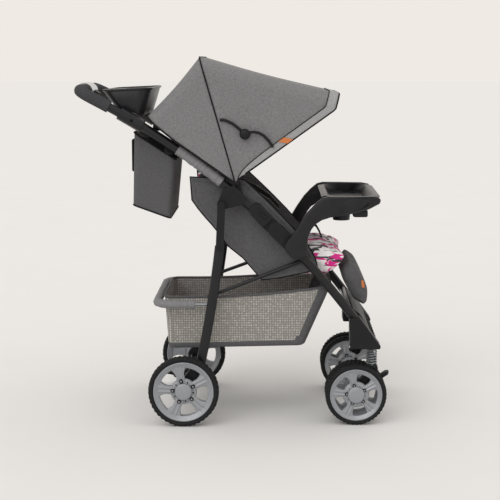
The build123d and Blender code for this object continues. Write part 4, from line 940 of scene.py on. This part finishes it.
# Sleeves: padded polyester tubes closed with a zip seam round each handle arm and round
# the rear hoop of the basket.
grey_cloth = cloth("mid_grey_polyester", "#6C6C6F", "#8C8C8E", THREAD)


ARM_RADIUS = 2050


def arc_point(distance):
    """Side view point on the long curve of the handle arm, in millimetres."""
    slope = math.radians(46)
    angle = slope + distance / ARM_RADIUS
    return (116 + ARM_RADIUS * (math.cos(angle) - math.cos(slope)),
            527 + ARM_RADIUS * (math.sin(angle) - math.sin(slope)))


def sleeve(name, points, radius, body):
    """A soft tube with shallow creases across it."""
    piece = piping(name, points, radius, grey_cloth)
    length = sum((b - a).length for a, b in zip(points, points[1:]))
    for v in piece.data.vertices:
        nearest = min(range(len(points)), key=lambda i: (points[i] - v.co).length)
        run = nearest / (len(points) - 1) * length
        out = v.co - points[nearest]
        ends = min(1.0, run / 0.01, (length - run) / 0.01)
        shrink = 1 - 0.05 * (1 + math.sin(run * 420 + 3 * math.sin(run * 90))) * ends
        v.co = points[nearest] + out * shrink
    piece.data.update()
    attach(piece, body)
    return piece


for side_name, side in (("right", -1), ("left", 1)):
    run = []
    for i in range(15):
        x, z = arc_point(446 + 5 * i)
        run.append(at(x, side * 190, z))
    clamp = piping(f"tray_clamp_{side_name}", run, CLAMP_RADIUS, gloss)
    x, z = arc_point(478)
    bm = bmesh.new()
    bmesh.ops.create_cone(bm, cap_ends=True, segments=20, radius1=0.0042, radius2=0.0036,
                          depth=0.0024, matrix=Matrix.Translation(at(x, side * 208.4, z))
                          @ Matrix.Rotation(side * -math.pi / 2, 4, "X"))
    screw = build(bm, f"tray_clamp_screw_{side_name}", screw_black_and_recess_shade)
    for piece in (clamp, screw):
        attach(piece, "handle_frame")


for side_name, side in (("right", -1), ("left", 1)):
    points = []
    for i in range(73):
        x, z = arc_point(190 + 145 * i / 72)
        points.append(at(x, side * 190, z))
    sleeve(f"arm_sleeve_{side_name}", points, 0.0148, "handle_frame")
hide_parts("tube_sleeves")

hoop_points = []
for i in range(61):
    x = -99 + (-158 + 99) * i / 60
    hoop_points.append(at(x, -202, 324))
for i in range(1, 40):
    turn = i / 40 * math.pi / 2
    hoop_points.append(at(-158 - 45 * math.sin(turn), -157 - 45 * math.cos(turn), 324))
for i in range(0, 101):
    hoop_points.append(at(-203, -157 + 314 * i / 100, 324))
for i in range(1, 40):
    turn = i / 40 * math.pi / 2
    hoop_points.append(at(-158 - 45 * math.cos(turn), 157 + 45 * math.sin(turn), 324))
for i in range(61):
    hoop_points.append(at(-158 + (-99 + 158) * i / 60, 202, 324))
hoop_sleeve = sleeve("hoop_sleeve_pad", hoop_points, 0.0122, "rear_frame")
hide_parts("basket_hoop_sleeve")


# Harness: black nylon webbing. Two shoulder straps come out of the back pad and meet the
# crotch strap, which stands up from the cushion as a loop under its buckle.
webbing, tree, surface, here = new_finish("black_nylon_webbing", "#131314", 0.7)
twill = node(tree, "TexWave", {"Vector": here, "Scale": 190.0, "Distortion": 0.8},
             bands_direction="DIAGONAL")
node(tree, "Mix", {0: twill.outputs["Fac"], 6: linear("#0E0E0F"), 7: linear("#242427")},
     surface.inputs["Base Color"], data_type="RGBA")
node(tree, "Bump", {"Height": twill.outputs["Fac"], "Strength": 0.4, "Distance": 0.0005},
     surface.inputs["Normal"])
pad_cloth = cloth("black_pad_polyester", "#141415", "#262628", THREAD)


def strap(name, points, half_width, thickness, body, finish=webbing):
    """Flat webbing along side view points (x, y, z), as wide as given across Y."""
    bm = bmesh.new()
    first = points[0]
    edge = bm.edges.new([bm.verts.new(first + Vector((0, w, 0))) for w in
                         (-half_width, half_width)])
    for before, after in zip(points, points[1:]):
        made = bmesh.ops.extrude_edge_only(bm, edges=[edge])
        moved = verts_of(made)
        bmesh.ops.translate(bm, vec=after - before, verts=moved)
        edge = [g for g in made["geom"] if isinstance(g, bmesh.types.BMEdge)
                and all(v in moved for v in g.verts)][0]
    bmesh.ops.recalc_face_normals(bm, faces=bm.faces)
    bmesh.ops.solidify(bm, geom=bm.faces[:], thickness=thickness)
    piece = build(bm, name, finish)
    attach(piece, body)
    return piece


for side_name, side in (("right", -1), ("left", 1)):
    run = [at(-56, side * 62, 668), at(-34, side * 66, 656), at(10, side * 74, 640),
           at(60, side * 80, 616), at(100, side * 82, 590), at(128, side * 80, 560),
           at(120, side * 70, 520), at(96, side * 60, 478), at(92, side * 52, 442)]
    strap(f"shoulder_strap_{side_name}", run, 0.0125, 0.0022, "seat_back")
    pad_run = [p + at(0, 0, 5) for p in run[1:6]]
    pad = strap(f"shoulder_pad_{side_name}", pad_run, 0.024, 0.014, "seat_back", pad_cloth)
loop = [at(196, 0, 477), at(199, 0, 500), at(206, 0, 518), at(220, 0, 524), at(234, 0, 514),
        at(243, 0, 498), at(250, 0, 480)]
crotch = strap("crotch_strap_loop", loop, 0.019, 0.0045, "front_frame")
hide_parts("crotch_strap")


# Tags: two small tabs of plain orange woven tape, sewn to the canopy and the leg rest.
def flat_tag(name, corners, lift, body):
    """A woven tab lying on cloth, given by its four corners."""
    bm = bmesh.new()
    bm.faces.new([bm.verts.new(spot) for spot in corners])
    made = bmesh.ops.extrude_face_region(bm, geom=bm.faces[:])
    bmesh.ops.translate(bm, vec=lift, verts=verts_of(made))
    bmesh.ops.recalc_face_normals(bm, faces=bm.faces)
    piece = build(bm, name, orange_tape, smooth=False)
    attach(piece, body)


TAG_AT = 0.133
corners = [front_band(TAG_AT, 0.04), front_band(TAG_AT + 0.018, 0.04),
           front_band(TAG_AT + 0.018, 0.96), front_band(TAG_AT, 0.96)]
flat_tag("canopy_tag", [spot + Vector((0.0, -0.0012, 0.0)) for spot in corners],
         Vector((0.0, -0.001, 0.0)), "front_bow")
corners = [at(350, -147.5, 381), at(357, -147.5, 381), at(360, -147.5, 362),
           at(353, -147.5, 362)]
flat_tag("leg_rest_tag", corners, Vector((0.0, -0.0015, 0.0)), "calf_rest")


# Canopy stretchers: two curved nylon arms each side that lock the bows apart. They meet at
# a ball-shaped knob which is pushed up to let the canopy fold.
for side_name, side in (("right", -1), ("left", 1)):
    rear_run = [at(x, side * 211.0, z) for x, z in (
        (-30, 818), (-20, 818), (-8, 814), (4, 808), (16, 799), (27, 789), (36, 781))]
    front_run = [at(x, side * 213.6, z) for x, z in (
        (36, 781), (46, 785), (60, 787), (74, 784), (87, 776), (99, 763), (110, 747))]
    rear_stay = piping(f"stretcher_rear_{side_name}", rear_run, 0.0038, nylon)
    front_stay = piping(f"stretcher_front_{side_name}", front_run, 0.0038, nylon)
    bm = bmesh.new()
    bmesh.ops.create_uvsphere(bm, u_segments=28, v_segments=18, radius=0.0145)
    bmesh.ops.scale(bm, vec=(1.0, 0.62, 1.0), verts=bm.verts)
    bmesh.ops.translate(bm, vec=at(36, side * 216.5, 781), verts=bm.verts)
    knob = build(bm, f"stretcher_knob_{side_name}", nylon)
    for piece, body in ((rear_stay, "rear_stays"), (front_stay, "front_stays"),
                        (knob, "front_stays")):
        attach(piece, body)
    if side < 0:
        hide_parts("canopy_stay_rear")
        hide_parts("canopy_stay_front")
